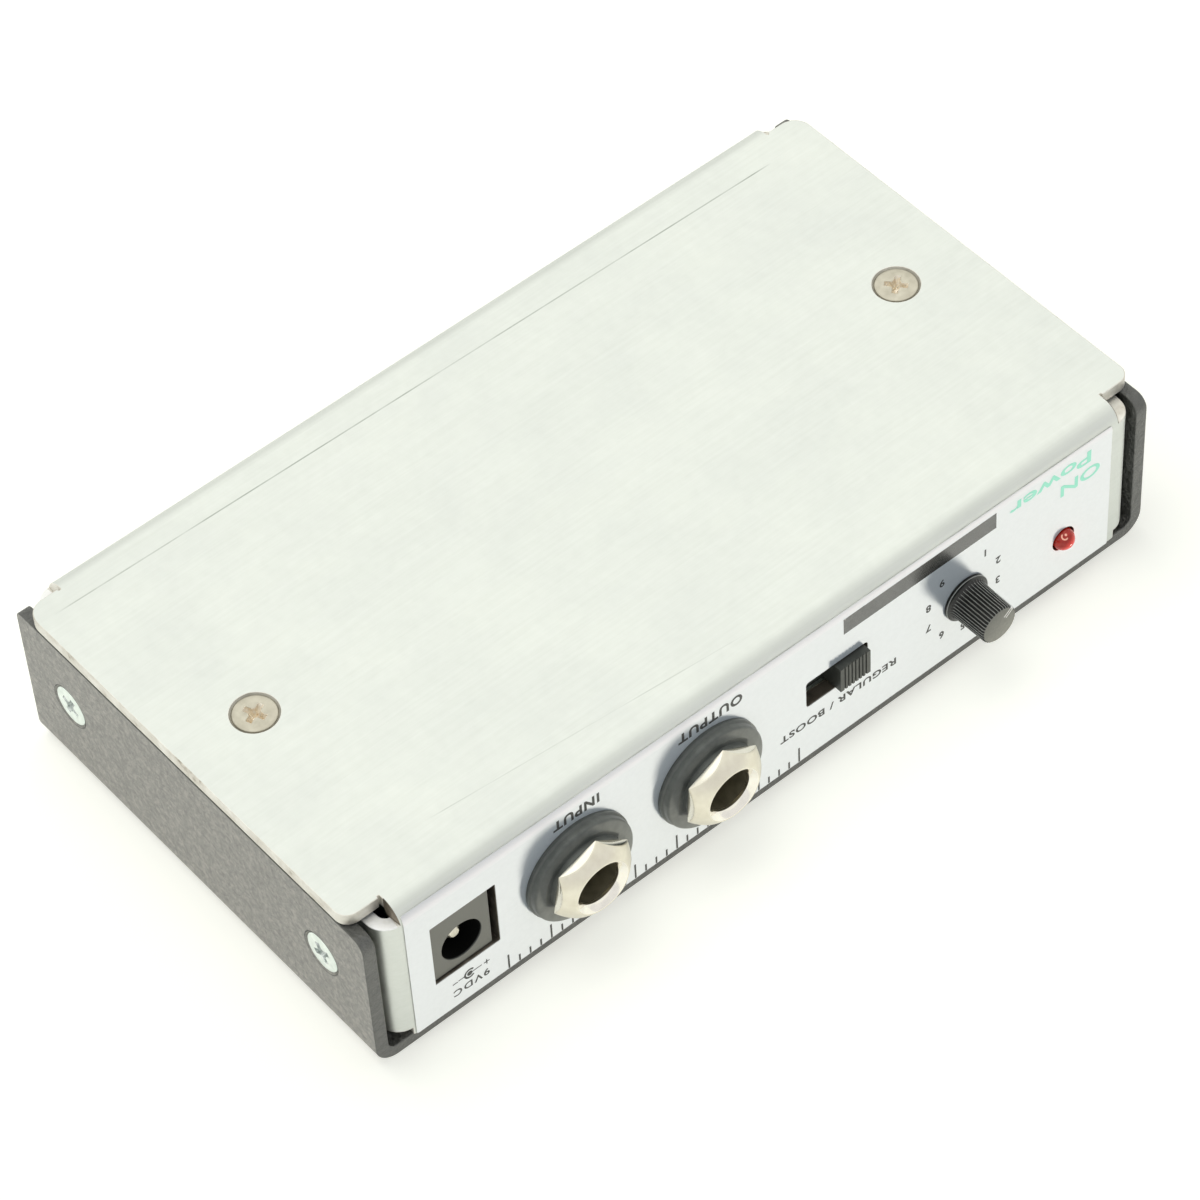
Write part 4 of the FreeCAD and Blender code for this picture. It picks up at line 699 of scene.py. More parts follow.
# %% The chassis, folded
SHADE_CUT, BARE_CUT, HIGHLIGHT_CUT = 2, 1, 3
BULGE, BULGE_REACH = 0.22, 0.7
bent_u, bent_drop = fold(np.abs(u), depth, TAB_START, BEND, TAB_TURN)
on_tab = (np.abs(v) > TAB_HIGH - 0.01) & (np.abs(u) > TAB_START - 0.01)
y, drop = fold(np.abs(v), depth, BEND_START, BEND, np.pi / 2)
x = np.sign(u) * np.where(on_tab, bent_u, np.abs(u))
y = np.where(on_tab, FACE_Y - bent_drop, y)
drop = np.where(on_tab, PLATE_TOP - BEND_Z + np.abs(v) - WALL_LINE, drop)
bend_part = np.clip((np.abs(v) - BEND_START) / ARC, 0, 1)
near_end = np.exp(-((FOLD_END - np.abs(u)) / BULGE_REACH) ** 2) * (np.abs(u) <= FOLD_END + 0.01)
squeeze = np.sin(np.pi * bend_part) * near_end
x += np.sign(u) * BULGE * squeeze * np.clip(depth / SHEET, 0.2, 1)
drop -= 0.05 * squeeze * (depth < SHEET / 2)


def chassis_edges(u, v):
    """The number of the material on a cut edge, from its place on the pattern."""
    in_panel = (v < -WALL_LINE) & (np.abs(u) < 58.5)
    in_bend = (v < 0.3 - BEND_START) & (v > -TAB_HIGH) & (np.abs(u) < 60)
    lit_tab_top = (np.abs(np.abs(v) - TAB_HIGH) < 0.3) & (u < -FOLD_END - 0.2)
    # Painted shade on the openings' and the bend ends' cut edges, and a painted highlight on the
    # left tabs' tops.
    return np.where(lit_tab_top, HIGHLIGHT_CUT, np.where(in_panel | in_bend, SHADE_CUT, BARE_CUT))


points = np.stack([x, np.sign(v) * y, PLATE_TOP - drop], 1)
chassis = folded_piece("chassis_sheet", pattern, points, SHEET,
                       [ALUMINIUM, SHEARED, SHADED_EDGE, TAB_TOP_HIGHLIGHT], "bottom_chassis",
                       "bare_aluminium", edges=chassis_edges)
print("chassis:", len(chassis.data.polygons), "faces")

# %% [markdown]
# ## Black cover
#
# Folded sheet with a black powder coat. The powder melts into a fine leathery skin with shallow
# pits, and it shines a little at a low angle. Its outer faces are painted a paler grey than the
# cut edges and the inside, a painted sheen.


# %% Powder coat and the cover
COVER_SHEET, COVER_BEND = 1.9, 3.3
COVER_HALF, COVER_DEPTH, COVER_TOP = 65.0, 35.3, 25.15
COVER_ARC = COVER_BEND * np.pi / 2
COVER_START = COVER_HALF - COVER_BEND


def powder_coat(name, stops, sheen):
    """Satin black skin: wrinkles and pits as bump, with paler crests as painted highlights."""
    material, place = new_material(name)
    wrinkles = noise(place, 1500.0, 5.0, 0.7, 0.4)
    pits = add_node("ShaderNodeTexVoronoi", {"Vector": place, "Scale": 700.0},
                    feature="SMOOTH_F1").outputs["Distance"]
    return principled(material, {
        "Base Color": ramp(wrinkles, stops), "Roughness": 0.34, "IOR": sheen,
        "Normal": bump(maths("ADD", wrinkles, pits), 1.0, 0.4),
    })


def up_cover(height):
    """How far out on the cover's flat pattern a height of its end wall lies."""
    return COVER_START + COVER_ARC + height - COVER_BEND


# Painted sheen: the outer faces' grey, with paler crests as painted highlights, is lighter than
# black powder coat.
POWDER = powder_coat("black powder coat", [(0.38, "#514F47"), (0.5, "#706D65"),
                                           (0.62, "#98948A")], 2.6)
POWDER_EDGE = powder_coat("black powder coat on an edge", [(0.35, "#2D2E29"), (0.8, "#494A43")],
                          2.05)
end = up_cover(COVER_TOP)
outline = round_corners([(end, -COVER_DEPTH, 2.0), (end, COVER_DEPTH, 1.2),
                         (-end, COVER_DEPTH, 1.2), (-end, -COVER_DEPTH, 2.0)], 12)
sinks = [ring_of(side * up_cover(WALL_SCREW_Z), end * WALL_SCREW_Y, SINK_RADIUS)
         for side, end in CORNERS]
pattern, u, v, depth = flat_pattern(outline, sinks, COVER_SHEET, 0.15,
                                    (0, bend_lines(COVER_START, COVER_ARC)))
x, z = fold(np.abs(u), depth, COVER_START, COVER_BEND, np.pi / 2)
cover = folded_piece("cover_sheet", pattern, np.stack([np.sign(u) * x, v, z], 1), COVER_SHEET,
                     [POWDER, POWDER_EDGE], "top_cover", "black_powder_coat", lining=1)
print("cover:", len(cover.data.polygons), "faces")

# %% [markdown]
# ## Countersinks
#
# The screw holes are drilled and then opened with a 90-degree cone. Each sink is a turned ring
# that fills the round cut-out of its sheet, so the cone and the narrow hole below it show.

# %% Countersunk rings
HOLE_RADIUS = 1.6
WALL_FACING = {-1: "left", 1: "right"}
SINK_PROFILE = [(SINK_RADIUS, 0), (HOLE_RADIUS, HOLE_RADIUS - SINK_RADIUS),
                (HOLE_RADIUS, -SHEET), (SINK_RADIUS, -SHEET), (SINK_RADIUS, 0)]
plate_sinks = join(*[turned(SINK_PROFILE, (side * PLATE_SCREW_X, PLATE_SCREW_Y, PLATE_TOP), "up")
                     for side in SIDES])
finish_piece("plate_sinks", *plate_sinks, SUNK, "bare_aluminium")
wall_sinks = join(*[turned(SINK_PROFILE, (side * COVER_HALF, end * WALL_SCREW_Y, WALL_SCREW_Z),
                           WALL_FACING[side]) for side, end in CORNERS])
finish_piece("wall_sinks", *wall_sinks, POWDER, "black_powder_coat")
print("countersinks:", len(SIDES) + len(CORNERS))

# %% [markdown]
# ## Printed film
#
# The panel is covered by a thin matte film, printed white with dark legends. It is cut like the
# sheets and folded over the start of the bend, where its colour is painted whiter towards the top,
# a painted light. Its upper edge isn't quite parallel to the box, as on the real one, because it
# was stuck on by hand.


# %% The film
FILM_SHEET = 0.12
FILM_FACE = -(FACE_Y + FILM_SHEET)
FILM_BEND = BEND + FILM_SHEET
FILM_LEFT, FILM_RIGHT, FILM_FOOT, FILM_CORNER = -59.15, 58.25, 2.1, 0.3
FILM_TOP_LEFT, FILM_TOP_RIGHT = 25.95, 25.2
PAINTED_LIGHT_START, PAINTED_LIGHT_END = 24.2, 24.9


def printed_film():
    """Matte white film with the faintest cold tint and a fine orange-peel bump, painted whiter
    towards its top edge on the bend as painted light.
    """
    material, place = new_material("matte white film")
    peel = noise(place, 1500.0)
    tint = ramp(peel, [(0.3, "#E6ECEC"), (0.7, "#E9EFEF")])
    height = add_node("ShaderNodeSeparateXYZ", {0: place}).outputs["Z"]
    # Painted light: whiter towards the film's top edge, where the bend is in shade.
    painted_light = levels(height, PAINTED_LIGHT_START * MM, PAINTED_LIGHT_END * MM, 0, 1)
    return principled(material, {
        "Base Color": mix_tints(painted_light, tint, linear("#FFFFFF")), "Roughness": 0.38,
        "IOR": 1.48, "Normal": bump(peel, 0.06, 0.02),
    })


def film_rise(height):
    """How far along the film a height above the bend line lies: radius times its angle."""
    return BEND_Z + FILM_BEND * math.asin((height - BEND_Z) / FILM_BEND)


FILM = printed_film()
FILM_EDGE = sheared_edge("cut edge of the film", [(0.4, "#C2C4BE"), (0.6, "#DEE0DA")], 0.0)
outline = round_corners([(FILM_LEFT, FILM_FOOT, FILM_CORNER), (FILM_RIGHT, FILM_FOOT, FILM_CORNER),
                         (FILM_RIGHT, film_rise(FILM_TOP_RIGHT), FILM_CORNER),
                         (FILM_LEFT, film_rise(FILM_TOP_LEFT), FILM_CORNER)], 4)
pattern, u, v, depth = flat_pattern(outline, panel_holes(0.02), FILM_SHEET, 0.03,
                                    (1, BEND_Z + np.linspace(-0.05, 1.6, 12)))
z, drop = fold(v, depth, BEND_Z, FILM_BEND, np.pi / 2)
film = folded_piece("printed_film", pattern, np.stack([u, FILM_FACE + drop, z], 1), FILM_SHEET,
                    [FILM, FILM_EDGE], "panel_label", "printed_film")
print("film:", len(film.data.polygons), "faces")

# %% [markdown]
# ## Ink
#
# The print lies a hundredth of a millimetre over the film. Its shapes are flat: strips, parts of
# rings, and words, which are Blender's text objects turned into meshes. All words stand on their
# heads, because the box lies on its cover.

# %% Ink and its shapes
INK_Y = FILM_FACE - 0.012
CAPITAL = 0.729


def ink(name, colour, roughness=0.5, ior=1.5):
    """Flat printing ink, with a slight unevenness in its colour."""
    material, place = new_material(name)
    uneven = levels(noise(place, 2500.0), 0.35, 0.65, 0.0, 0.04)
    return principled(material, {
        "Base Color": mix_tints(uneven, linear(colour), linear("#FFFFFF")),
        "Roughness": roughness, "IOR": ior,
    })


def lay_ink(name, flat_points, faces, material):
    """Lays flat (x, z) millimetre shapes on the film's face."""
    x, z = flat_points.T
    points = np.column_stack([x, np.full(len(x), INK_Y), z])
    return finish_piece(name, points, faces, material, "printed_film", solid=False)


def word(text, height, spacing=1.0, bold=0.0):
    """The flat shape of a word; its capitals have this height, as CAPITAL is their share."""
    curve = bpy.data.curves.new("word", "FONT")
    curve.body = text
    curve.size = height / CAPITAL
    curve.space_character = spacing
    curve.offset = bold
    curve.resolution_u = 4
    mesh = mesh_of(curve)
    points = np.array([corner.co[:2] for corner in mesh.vertices], float)
    faces = [list(face.vertices) for face in mesh.polygons]
    bpy.data.meshes.remove(mesh)
    return points, faces


def lay_words(name, rows, material):
    """Lays words upside down as one piece. Each row is a text, the height of its capitals, its
    spacing and boldness, the (x, z) where it starts and the width that it is stretched to."""
    shapes = []
    for text, height, spacing, bold, x, z, width in rows:
        points, faces = word(text, height, spacing, bold)
        points = points - [points[:, 0].min(), 0]
        points = points * [width / points[:, 0].max(), 1]
        shapes.append((np.array([x, z]) - points, faces))
    return lay_ink(name, *join(*shapes), material)


def ring_strip(x, z, inner, outer, first=0.0, last=360.0, steps=48):
    """A flat ring, or a part of one, between two radii."""
    angle = np.radians(np.linspace(first, last, steps + 1))
    edge = np.stack([np.cos(angle), np.sin(angle)], axis=1)
    points = np.concatenate([inner * edge, outer * edge]) + [x, z]
    return points, grid_faces(2, steps + 1, False).tolist()


def strip(left, right_side, low, high):
    """A flat rectangle."""
    return (np.array([(left, low), (right_side, low), (right_side, high), (left, high)], float),
            [(0, 1, 2, 3)])


DARK_INK = ink("dark grey ink", "#333430")
BAR_INK = ink("glossy dark ink", "#1E1F1B", 0.2, 2.1)
MINT_INK = ink("mint ink", "#9BE5CD")
print("ink lies at y", round(INK_Y, 3))

# %% [markdown]
# ## Legends
#
# Scale marks run along the lower edge, every fourth one long. Nine figures stand on a circle that
# isn't quite centred on the knob, as the film was stuck on by hand. The words are generic. The
# polarity sign is a dot for the pin in an open ring for the sleeve, with a plus and a minus.

# %% Legends
TICKS, TICK_FIRST, TICK_STEP, TICK_HALF = 29, -44.4, 1.72, 0.14
TICK_FOOT, TICK_SHORT, TICK_LONG = 2.2, 3.5, 4.95
FIGURE_X, FIGURE_Z, FIGURE_RADIUS, FIGURE_STEP = 32.2, 12.6, 6.4, 36

ticks = []
for i in range(TICKS):
    tick_x = TICK_FIRST + i * TICK_STEP
    ticks.append(strip(tick_x - TICK_HALF, tick_x + TICK_HALF, TICK_FOOT,
                       TICK_SHORT if i % 4 else TICK_LONG))
lay_ink("scale_marks", *join(*ticks), DARK_INK)
lay_words("words", [
    ("INPUT", 1.75, 1.15, 0.085, -28.55, 24.0, 7.35),
    ("OUTPUT", 1.75, 1.15, 0.085, -5.3, 24.0, 10.5),
    ("REGULAR / BOOST", 1.25, 1.1, 0.045, 20.5, 9.45, 19.8),
    ("9VDC", 1.25, 1.2, 0.03, -47.4, 5.2, 5.7),
], DARK_INK)
figures = []
for number in range(1, 10):
    angle = math.radians(FIGURE_STEP * number)
    points, faces = word(str(number), 1.3, bold=0.05)
    points = points - (points.min(0) + points.max(0)) / 2
    spot = np.array([FIGURE_X + FIGURE_RADIUS * math.sin(angle),
                     FIGURE_Z + FIGURE_RADIUS * math.cos(angle)])
    figures.append((spot - points, faces))
lay_ink("figures", *join(*figures), DARK_INK)
polarity = join(
    ring_strip(-50.4, 6.7, 0.0, 0.42), ring_strip(-50.4, 6.7, 0.6, 0.9, 40, 320),
    strip(-50.1, -48.5, 6.62, 6.78), strip(-52.2, -51.2, 6.62, 6.78),
    strip(-48.15, -47.25, 6.58, 6.74), strip(-47.78, -47.62, 6.21, 7.11),
    strip(-53.1, -52.3, 6.55, 6.71),
)
lay_ink("polarity_sign", *polarity, DARK_INK)
lay_ink("plain_bar", *strip(11.6, 37.8, 21.3, 24.2), BAR_INK)
lay_words("mint_words", [("ON", 2.2, 1.0, 0.06, 56.2, 20.3, 7.0),
                         ("Power", 2.3, 1.0, 0.06, 54.5, 23.6, 14.4)], MINT_INK)
print("legends:", len(ticks), "marks and", len(figures), "figures")

# %% [markdown]
# ## Metal and plastic finishes
#
# Most small parts share one recipe: a base colour that drifts a little between two tints and a
# fine bump. Plated parts are metallic, mouldings are not.


# %% Plain finishes
def plain(name, dark, light, roughness, metallic=0.0, scale=800.0, bump_mm=0.01):
    """A base colour that drifts between two tints, with a fine bump."""
    material, place = new_material(name)
    grain = noise(place, scale, 3.0)
    return principled(material, {
        "Base Color": ramp(grain, [(0.3, dark), (0.7, light)]), "Roughness": roughness,
        "Metallic": metallic, "Normal": bump(grain, 0.2, bump_mm),
    })


FINISHES = {
    "bare_aluminium": ALUMINIUM,
    "black_powder_coat": POWDER,
    "printed_film": FILM,
    "zinc_plate": plain("zinc plate", "#D6E0DA", "#EEF6F1", 0.3, 1.0),
    "nickel_plate": plain("nickel plate", "#DED8C7", "#E8E3D3", 0.34, 1.0, bump_mm=0.002),
    # Painted sheen: a mid grey for black nylon, standing in for its reflections.
    "black_moulding": plain("black moulded nylon", "#5F625D", "#6E716B", 0.36),
    "fluted_moulding": plain("black moulded ABS", "#10110E", "#191A16", 0.27),
    "green_board": plain("green solder mask", "#0E4A26", "#17603A", 0.35),
    "tinned_wire": plain("tinned wire", "#C4C4C0", "#DADAD6", 0.35, 1.0),
    "spring_brass": plain("spring brass", "#B58A3A", "#CBA14E", 0.35, 1.0),
    "die_cast": plain("die-cast zinc", "#8E8F90", "#A9AAAA", 0.5, 1.0),
    "paper_laminate": plain("paper laminate", "#6A4320", "#8A5A2C", 0.6),
    "dark_sleeve": plain("shrunk sleeve", "#10131C", "#191D29", 0.3),
    "film_coat": plain("dipped epoxy", "#8C2415", "#A12E1C", 0.3),
    "resistor_coat": plain("resistor enamel", "#6E9BB5", "#86B1C9", 0.35),
}
print("finishes:", len(FINISHES))

# %% [markdown]
# ## Plug nuts
#
# A hexagon bar is turned to a shallow ball before it is cut off. So each flat ends in an arch, and
# the six corners are the lowest points. The height over the base follows the ball: its centre lies
# 3.7 mm below the base, and h = sqrt(7.45^2 - r^2) - 3.7. The grid's rows run from the spigot
# over the flats, smoother and painted paler as a painted highlight, and the ball, down the
# polished chamfer and back along the bore's thread.


# %% Plug nuts
BALL, BALL_DROP = 7.45, 3.7
ACROSS_FLATS, NUT_CORNER = 11.1, 0.12
BORE, THREAD_DEPTH, THREAD_STEP, THREADS = 4.55, 0.12, 0.36, 14
SPIGOT_END, NUT_BASE_Y = -4.25, -38.47
NUT_COLUMNS = 360
FLATS_ROW, CHAMFER_ROWS = 5, (24, 25, 26)
NICKEL = FINISHES["nickel_plate"]
# The flats' lower roughness is real; their paler tint is a painted highlight.
NICKEL_FLATS_HIGHLIGHT = plain("nickel plate, painted highlight on flats", "#EFEADB", "#F6F1E4", 0.14, 1.0, bump_mm=0.001)
CHAMFER = plain("polished chamfer", "#EDE9DF", "#F6F2E8", 0.1, 1.0, bump_mm=0.001)


def hexagon_radius(angle, across, corner):
    """How far a hexagon with rounded corners reaches at each angle; a corner is at angle 0."""
    away = np.abs((angle + np.pi / 6) % (np.pi / 3) - np.pi / 6)
    flat_side = across / 2 / np.cos(np.pi / 6 - away)
    middle = (across / 2 - corner) / math.cos(np.pi / 6)
    inside = corner ** 2 - (middle * np.sin(away)) ** 2
    rounded = middle * np.cos(away) + np.sqrt(np.maximum(inside, 0))
    return np.where(inside > 0, np.minimum(flat_side, rounded), flat_side)


def on_ball(radius):
    """The ball's height over the nut's base at a radius."""
    return np.sqrt(BALL ** 2 - radius ** 2) - BALL_DROP


def plug_nut(spot, turn):
    """A nut with its spigot, standing on a spot of the collar and turned by an angle."""
    angle = np.linspace(0, 2 * np.pi, NUT_COLUMNS, endpoint=False)
    side = hexagon_radius(angle - math.radians(turn), ACROSS_FLATS, NUT_CORNER)
    rows = [(BORE, SPIGOT_END), (5.2, SPIGOT_END), (5.2, -0.05), (5.25, 0),
            (side - 0.06, 0), (side, 0.05), (side, on_ball(side) - 0.07)]
    for part in np.linspace(0, 1, 16) ** 1.2:
        radius = (side - 0.05) * (1 - part) + 4.24 * part
        rows.append((radius, on_ball(radius) - 0.02 * (part == 0)))
    rows += [(4.2, 2.44), (4.05, 2.45), (3.98, 2.42), (3.26, 1.7), (3.2, 1.6), (3.2, 1.2),
             (3.25, 1.15), (BORE, 1.15)]
    rows += [(BORE - THREAD_DEPTH * (i % 2), 1.0 - THREAD_STEP * i) for i in range(THREADS)]
    rows.append((BORE, SPIGOT_END))
    radius, height = (np.array([np.broadcast_to(row[k], NUT_COLUMNS) for row in rows])
                      for k in (0, 1))
    return around(radius, height, spot, "front")


for (name, x), turn in zip(JACKS.items(), (20.0, 26.5)):
    points, faces = plug_nut((x, NUT_BASE_Y, JACK_Z), turn)
    row = np.arange(len(faces)) // NUT_COLUMNS
    finish_piece(name + "_nut", points, faces, [NICKEL, NICKEL_FLATS_HIGHLIGHT, CHAMFER], "nickel_plate",
                 nodes=[name + "_jack_nut"], crease=28,
                 parts=(row == FLATS_ROW) + 2 * np.isin(row, CHAMFER_ROWS))
print("nuts: arches", round(on_ball(ACROSS_FLATS / 2), 2), "mm high")

# %% [markdown]
# ## Plug collars
#
# Each collar is a moulded washer, turned in one profile: a base step, a waist, a rounded
# shoulder and a short neck that the nut sits on. The corners are (radius, height, rounding).

# %% Plug collars
COLLAR = [(5.35, 0, 0), (8.15, 0, 0.05), (8.15, 0.5, 0.12), (7.9, 0.72, 0.1), (7.9, 1.62, 0.4),
          (6.5, 1.9, 0.3), (5.7, 1.9, 0.05), (5.7, 2.65, 0.06), (5.35, 2.65, 0.02)]
profile = round_corners(COLLAR, 5)
profile = np.concatenate([profile, profile[:1]])
for name, x in JACKS.items():
    finish_piece(name + "_collar", *turned(profile, (x, FILM_FACE, JACK_Z), "front", 128),
                 FINISHES["black_moulding"], "black_moulding", nodes=[name + "_jack_collar"])
print("collars turned from", len(COLLAR), "corners each")

# %% [markdown]
# ## Knob
#
# The knob is a moulded skirt with a fluted body. A closed profile is turned, and 38 flutes are cut
# into the body's rows: r = r0 - 0.24 (1 - ((1 + cos 38a) / 2) ^ 2), which leaves narrow ribs. The
# end face is matte and painted a lighter grey as painted light, and the rib crests and the skirt's
# rim are painted pale as painted highlights.


# %% Fluted knob
FLUTES, FLUTE_DEPTH, FLUTE_COLUMNS = 38, 0.24, 12
HIGHLIGHT_COLUMNS = (FLUTE_COLUMNS - 1, 0)
FACE_ROWS, BODY_END, RIM_HIGHLIGHT_ROW = 2, 9, 13
KNOB_Y = -35.94
KNOB = [(0.0, 6.38), (2.62, 6.38), (2.7, 6.34), (2.8, 6.3), (2.88, 6.2), (2.9, 6.05), (2.92, 4.0),
        (2.95, 2.0), (2.97, 1.2), (3.02, 0.8), (3.12, 0.55), (3.3, 0.43), (3.46, 0.4), (3.55, 0.37),
        (3.6, 0.28), (3.6, 0.08), (3.52, 0.0), (0.0, 0.0)]
# Painted light: the end face is a lighter grey than the black body, and the rib crests and the
# skirt's rim are pale painted highlights.
LIT_END_FACE = plain("matte end face, painted light", "#73746D", "#7F8078", 0.6, scale=2500.0, bump_mm=0.03)
RIB_HIGHLIGHT = plain("pale crests, painted highlight", "#A9AAA3", "#C4C5BE", 0.3)


def fluted(radius, height, angle):
    """Cuts the flutes where the profile is at the body's radius."""
    rib = ((1 + np.cos(FLUTES * angle)) / 2) ** 2
    deep = np.clip((radius - 2.7) / 0.15, 0, 1) * np.clip((height - 0.6) / 0.3, 0, 1)
    return radius - FLUTE_DEPTH * (1 - rib) * deep


columns = FLUTES * FLUTE_COLUMNS
points, faces = turned(KNOB, (KNOB_AXIS[0], KNOB_Y, KNOB_AXIS[1]), "front", columns, fluted)
row, column = np.divmod(np.arange(len(faces)), columns)
# The rib crests and the skirt's rim row get the painted highlight.
painted_highlight = np.isin(column % FLUTE_COLUMNS, HIGHLIGHT_COLUMNS) & (row >= FACE_ROWS) & (row < BODY_END)
finish_piece("fluted_knob", points, faces, [FINISHES["fluted_moulding"], LIT_END_FACE, RIB_HIGHLIGHT],
             "fluted_moulding", body="knob", nodes=["level_knob"], crease=32,
             parts=np.where(row < FACE_ROWS, 1, 2 * (painted_highlight | (row == RIM_HIGHLIGHT_ROW))))
print("knob with", FLUTES, "flutes")

# %% [markdown]
# ## Pointer
#
# A white line runs along one rib and on to the end face, where paint fills the sides of a slot.
# It stands at 50 degrees from the top towards the right, as in the photograph.

# %% The pointer
POINTER_TURN = math.radians(50)
PAINT_Y = -42.332
outward = np.array([math.sin(POINTER_TURN), math.cos(POINTER_TURN)])
across = np.array([outward[1], -outward[0]])


def painted(rows, low, high):
    """A strip of paint through (distance from the axis, y) rows, between two sideways places."""
    corners = [[*(KNOB_AXIS + r * outward + w * across), y] for r, y in rows for w in (low, high)]
    return np.array(corners)[:, [0, 2, 1]], [(2 * i, 2 * i + 1, 2 * i + 3, 2 * i + 2)
                                             for i in range(len(rows) - 1)]


end_rows = [(1.2, PAINT_Y), (2.66, PAINT_Y)]
side_rows = [(2.66, PAINT_Y), (2.8, -42.27), (2.91, -42.1), (2.96, -39.0)]
paint = join(painted(end_rows, -0.3, -0.16), painted(end_rows, 0.16, 0.3),
             painted(side_rows, -0.28, 0.28))
finish_piece("pointer_line", *paint, ink("white paint", "#F2F3EF"), "fluted_moulding",
             body="knob", solid=False)
print("pointer:", len(paint[1]), "strips of paint")

# %% [markdown]
# ## Indicator lamp
#
# A 3 mm lamp is one drop of tinted epoxy: a short cylinder with a round dome over a flange. A
# glowing spot and half a ring on the resin are painted highlights. They are patterns of the
# distance from two spots, and the half ring ends where x + z passes the middle of its spot.


# %% Indicator lamp
ARC_HIGHLIGHT_CENTRE, SPOT_HIGHLIGHT_CENTRE = (49.61, -36.53, 10.83), (49.85, -36.46, 10.93)
LENS_BASE_Y, LENS_RADIUS, LENS_STRAIGHT = -31.67, 1.62, 4.05
FLANGE = 1.9


def tinted_epoxy():
    """Red resin with painted highlights in it: a glowing spot and half a ring."""
    material, place = new_material("red tinted epoxy")
    cloud = noise(place, 900.0)
    aside = add_node("ShaderNodeVectorMath", {0: place, 1: (1, 0, 1)},
                     operation="DOT_PRODUCT").outputs["Value"]
    middle = ARC_HIGHLIGHT_CENTRE[0] + ARC_HIGHLIGHT_CENTRE[2]

    def distance(spot):
        """How far a place is from a spot in millimetres."""
        return add_node("ShaderNodeVectorMath", {
            0: place, 1: tuple(MM * c for c in spot)}, operation="DISTANCE").outputs["Value"]

    def fade(value, low, high, *ends):
        """Levels between two bounds in millimetres."""
        return levels(value, low * MM, high * MM, *ends)

    # Painted highlights: half a ring and a spot, which glow by emission.
    from_arc_centre = distance(ARC_HIGHLIGHT_CENTRE)
    arc_glint = maths("MULTIPLY", fade(from_arc_centre, 0.28, 0.37, 0, 1),
                fade(from_arc_centre, 0.42, 0.54, 1, 0))
    arc_glint = maths("MULTIPLY", arc_glint, fade(aside, middle - 0.1, middle + 0.15, 1, 0))
    glint = maths("MAXIMUM", arc_glint, fade(distance(SPOT_HIGHLIGHT_CENTRE), 0.08, 0.22, 1, 0))
    return principled(material, {
        "Base Color": ramp(cloud, [(0.35, "#E42A1D"), (0.65, "#F4402F")]),
        "Roughness": 0.1, "IOR": 1.45, "Transmission Weight": 0.1,
        "Coat Weight": 0.1, "Coat Roughness": 0.05, "Emission Color": linear("#FFDCC0"),
        "Emission Strength": levels(glint, 0, 1, 0, 0.7),
    })


FINISHES["red_lens"] = tinted_epoxy()
dome = [(LENS_RADIUS * math.cos(a), LENS_STRAIGHT + LENS_RADIUS * math.sin(a))
        for a in np.linspace(0, np.pi / 2, 20)]
lens_profile = [(0, 0), (FLANGE - 0.08, 0), (FLANGE, 0.08), (FLANGE, 0.92), (FLANGE - 0.08, 1.0),
                (LENS_RADIUS, 1.0), *dome]
finish_piece("lamp_dome", *turned(lens_profile, (LAMP_AXIS[0], LENS_BASE_Y, LAMP_AXIS[1]), "front"),
             FINISHES["red_lens"], "red_lens", nodes=["lamp_lens"], crease=50)
print("lamp dome tip at y", LENS_BASE_Y - LENS_STRAIGHT - LENS_RADIUS)

# %% [markdown]
# ## Screws
#
# Countersunk machine screws with a cross recess. The head's face is a height field on a polar
# grid. The recess is the deeper of two tapering slots, depth = min(3.4 (w - |y|), 1.5 (l - |x|),
# 1.25), and of a pit in the middle, 2.6 (0.82 - r) and at most 1.3; outside it the depth is 0.
# Behind the face a profile goes on over the cone to the thread. The recess has its own finish.


# %% Screws with a cross recess
SCREW_COLUMNS = 160
SLOT_HALF, SLOT_REACH, SLOT_DEPTH = 0.43, 1.62, 1.25
PIT_RADIUS, PIT_DEPTH = 0.82, 1.3
HEAD_RIM, RIM_DROP = [2.5, 2.72, 2.84, 2.91, 2.95], [0, 0.012, 0.045, 0.09, 0.16]
SHANK, SHANK_GROOVE, SHANK_STEP = 1.5, 0.22, 0.25
DULL_NICKEL = plain("dull nickel plate", "#AFAA9B", "#C4BFB0", 0.35, 1.0)
# The plate screws' recess is paler and warmer than their heads.
WARM_RECESS = plain("pale warm recess", "#E6D5B8", "#FBF6EA", 0.4, 0.35, scale=1500.0)
COLD_RECESS = plain("shaded recess", "#8B9793", "#F2F7F4", 0.25, 0.6, scale=1800.0)


def cross_recess(x, y):
    """The depth of the recess at a place on the face, in millimetres."""
    def arm(along, beside):
        walls = np.minimum(3.4 * (SLOT_HALF - np.abs(beside)), 1.5 * (SLOT_REACH - np.abs(along)))
        return np.minimum(walls, SLOT_DEPTH)
    pit = np.minimum(2.6 * (PIT_RADIUS - np.hypot(x, y)), PIT_DEPTH)
    return np.clip(np.maximum.reduce([arm(x, y), arm(y, x), pit]), 0, PIT_DEPTH)


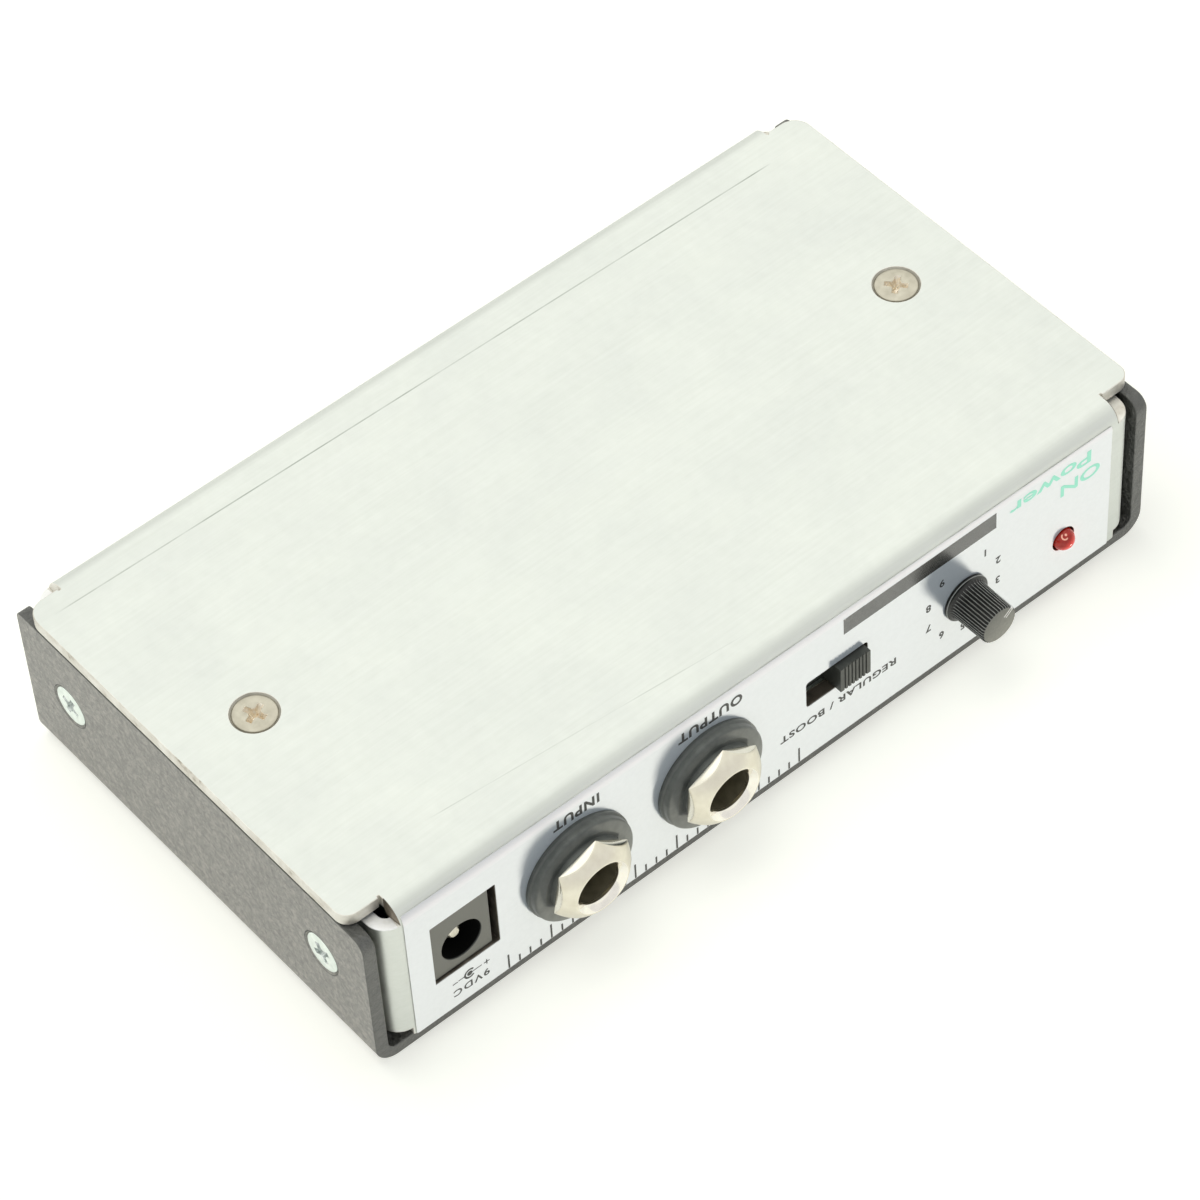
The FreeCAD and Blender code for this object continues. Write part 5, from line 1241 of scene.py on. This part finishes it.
def screw(spot, facing, turn, length):
    """A screw whose face lies at the spot, with its recess turned by an angle. Also tells which
    of its faces are in the recess."""
    angle = np.linspace(0, 2 * np.pi, SCREW_COLUMNS, endpoint=False) - math.radians(turn)
    radii = np.concatenate([np.linspace(0, 2.2, 56), HEAD_RIM])[:, None]
    depth = cross_recess(radii * np.cos(angle), radii * np.sin(angle))
    behind = [(HEAD_RIM[-1], -0.24), (SHANK, -1.69)]
    behind += [(SHANK - SHANK_GROOVE * (i % 2), -drop)
               for i, drop in enumerate(np.arange(1.9, length - 0.3, SHANK_STEP))]
    behind += [(1.2, -length), (0.0, -length)]
    back_radius, back_height = np.repeat(np.array(behind).T[:, :, None], SCREW_COLUMNS, axis=2)
    radius = np.concatenate([np.repeat(radii, SCREW_COLUMNS, axis=1), back_radius])
    height = np.concatenate([-depth - np.interp(radii, HEAD_RIM, RIM_DROP), back_height])
    in_recess = np.zeros((len(radius) - 1, SCREW_COLUMNS), int)
    in_recess[:len(depth) - 1] = np.maximum(depth[1:], depth[:-1]) > 0.03
    return (*around(radius, height, spot, facing), in_recess.ravel())


def screw_set(name, screws, materials, node, slot):
    """Several screws as one piece; the recess gets the second material."""
    points, faces = join(*[one[:2] for one in screws])
    finish_piece(name, points, faces, materials, slot, nodes=[node], crease=30,
                 parts=np.concatenate([one[2] for one in screws]))


screw_set("plate_screw_pair", [
    screw((side * PLATE_SCREW_X, PLATE_SCREW_Y, PLATE_TOP - 0.05), "up", turn, 10.0)
    for side, turn in zip(SIDES, (22, 40))], [DULL_NICKEL, WARM_RECESS],
    "plate_screws", "nickel_plate")
screw_set("cover_screw_set", [
    screw((side * (COVER_HALF - 0.05), end * WALL_SCREW_Y, WALL_SCREW_Z), WALL_FACING[side],
          turn, 6.0)
    for (side, end), turn in zip(CORNERS, (30, 62, 15, 40))], [FINISHES["zinc_plate"], COLD_RECESS],
    "cover_screws", "zinc_plate")
print("screws:", len(SIDES), "in the plate,", len(CORNERS), "in the walls")

# %% [markdown]
# ## Remaining nodes
#
# What the CAD already shapes well keeps its mesh and gets the finish that its record names. The
# inlet, whose bore is painted black with depth as painted shade, the olive-brown noses of the plug
# sockets and the switch's lever have a black of their own.


# %% Finishes for the CAD's own meshes
BORE_FRONT, BORE_SHADE_END = -35.42, -35.2


def deep_black():
    """The inlet's moulding: a grey face, and a bore painted black behind it as painted shade."""
    material, place = new_material("black moulded nylon, painted shade in the bore")
    # Painted shade: from the face's grey, a painted sheen, the colour falls to black with depth in
    # the bore.
    depth = add_node("ShaderNodeSeparateXYZ", {0: place}).outputs["Y"]
    shade = levels(depth, BORE_FRONT * MM, BORE_SHADE_END * MM, 0, 1)
    return principled(material, {
        "Base Color": ramp(shade, [(0.0, "#666760"), (1.0, "#0A0A08")]),
        "Roughness": levels(shade, 0, 1, 0.45, 0.9),
        "Specular IOR Level": levels(shade, 0, 1, 0.5, 0.1),
    })


# An olive-brown black, lighter than the other black nylon.
OLIVE_NYLON = plain("black moulded nylon, olive-brown", "#5D5743", "#756F5A", 0.35)
OWN_FINISH = {
    "inlet_body": deep_black(),
    "input_jack_body": OLIVE_NYLON,
    "output_jack_body": OLIVE_NYLON,
    # Painted sheen: a dark grey for black acetal, standing in for its reflections.
    "switch_slider": plain("black moulded acetal", "#40423D", "#4D4F49", 0.45),
}
slots = {entry["node"]: entry["material_slot"] for entry in frame["record"]["subparts"]}
for name, node in frame["nodes"].items():
    node.data.materials.clear()
    node.data.materials.append(OWN_FINISH.get(name, FINISHES[slots[name]]))
print("finishes on", len(frame["nodes"]), "nodes")

# %% [markdown]
# ## Rounded edges
#
# A moulded or turned edge is never sharp. The CAD's meshes that show get a fine rounding, after a
# weld of their doubled corners.

# %% Rounded edges
ROUNDING = {"inlet_body": 0.12, "switch_slider": 0.04, "input_jack_body": 0.15,
            "output_jack_body": 0.15, "inlet_pin": 0.05}
for name, rounding in ROUNDING.items():
    modifiers = frame["nodes"][name].modifiers
    modifiers.new("weld", "WELD").merge_threshold = 0.001 * MM
    rounded = modifiers.new("rounded edges", "BEVEL")
    rounded.width = rounding * MM
    rounded.segments = 2
    rounded.limit_method = "ANGLE"
    rounded.angle_limit = math.radians(35)
    rounded.harden_normals = True
print("rounded edges on", len(ROUNDING), "nodes")
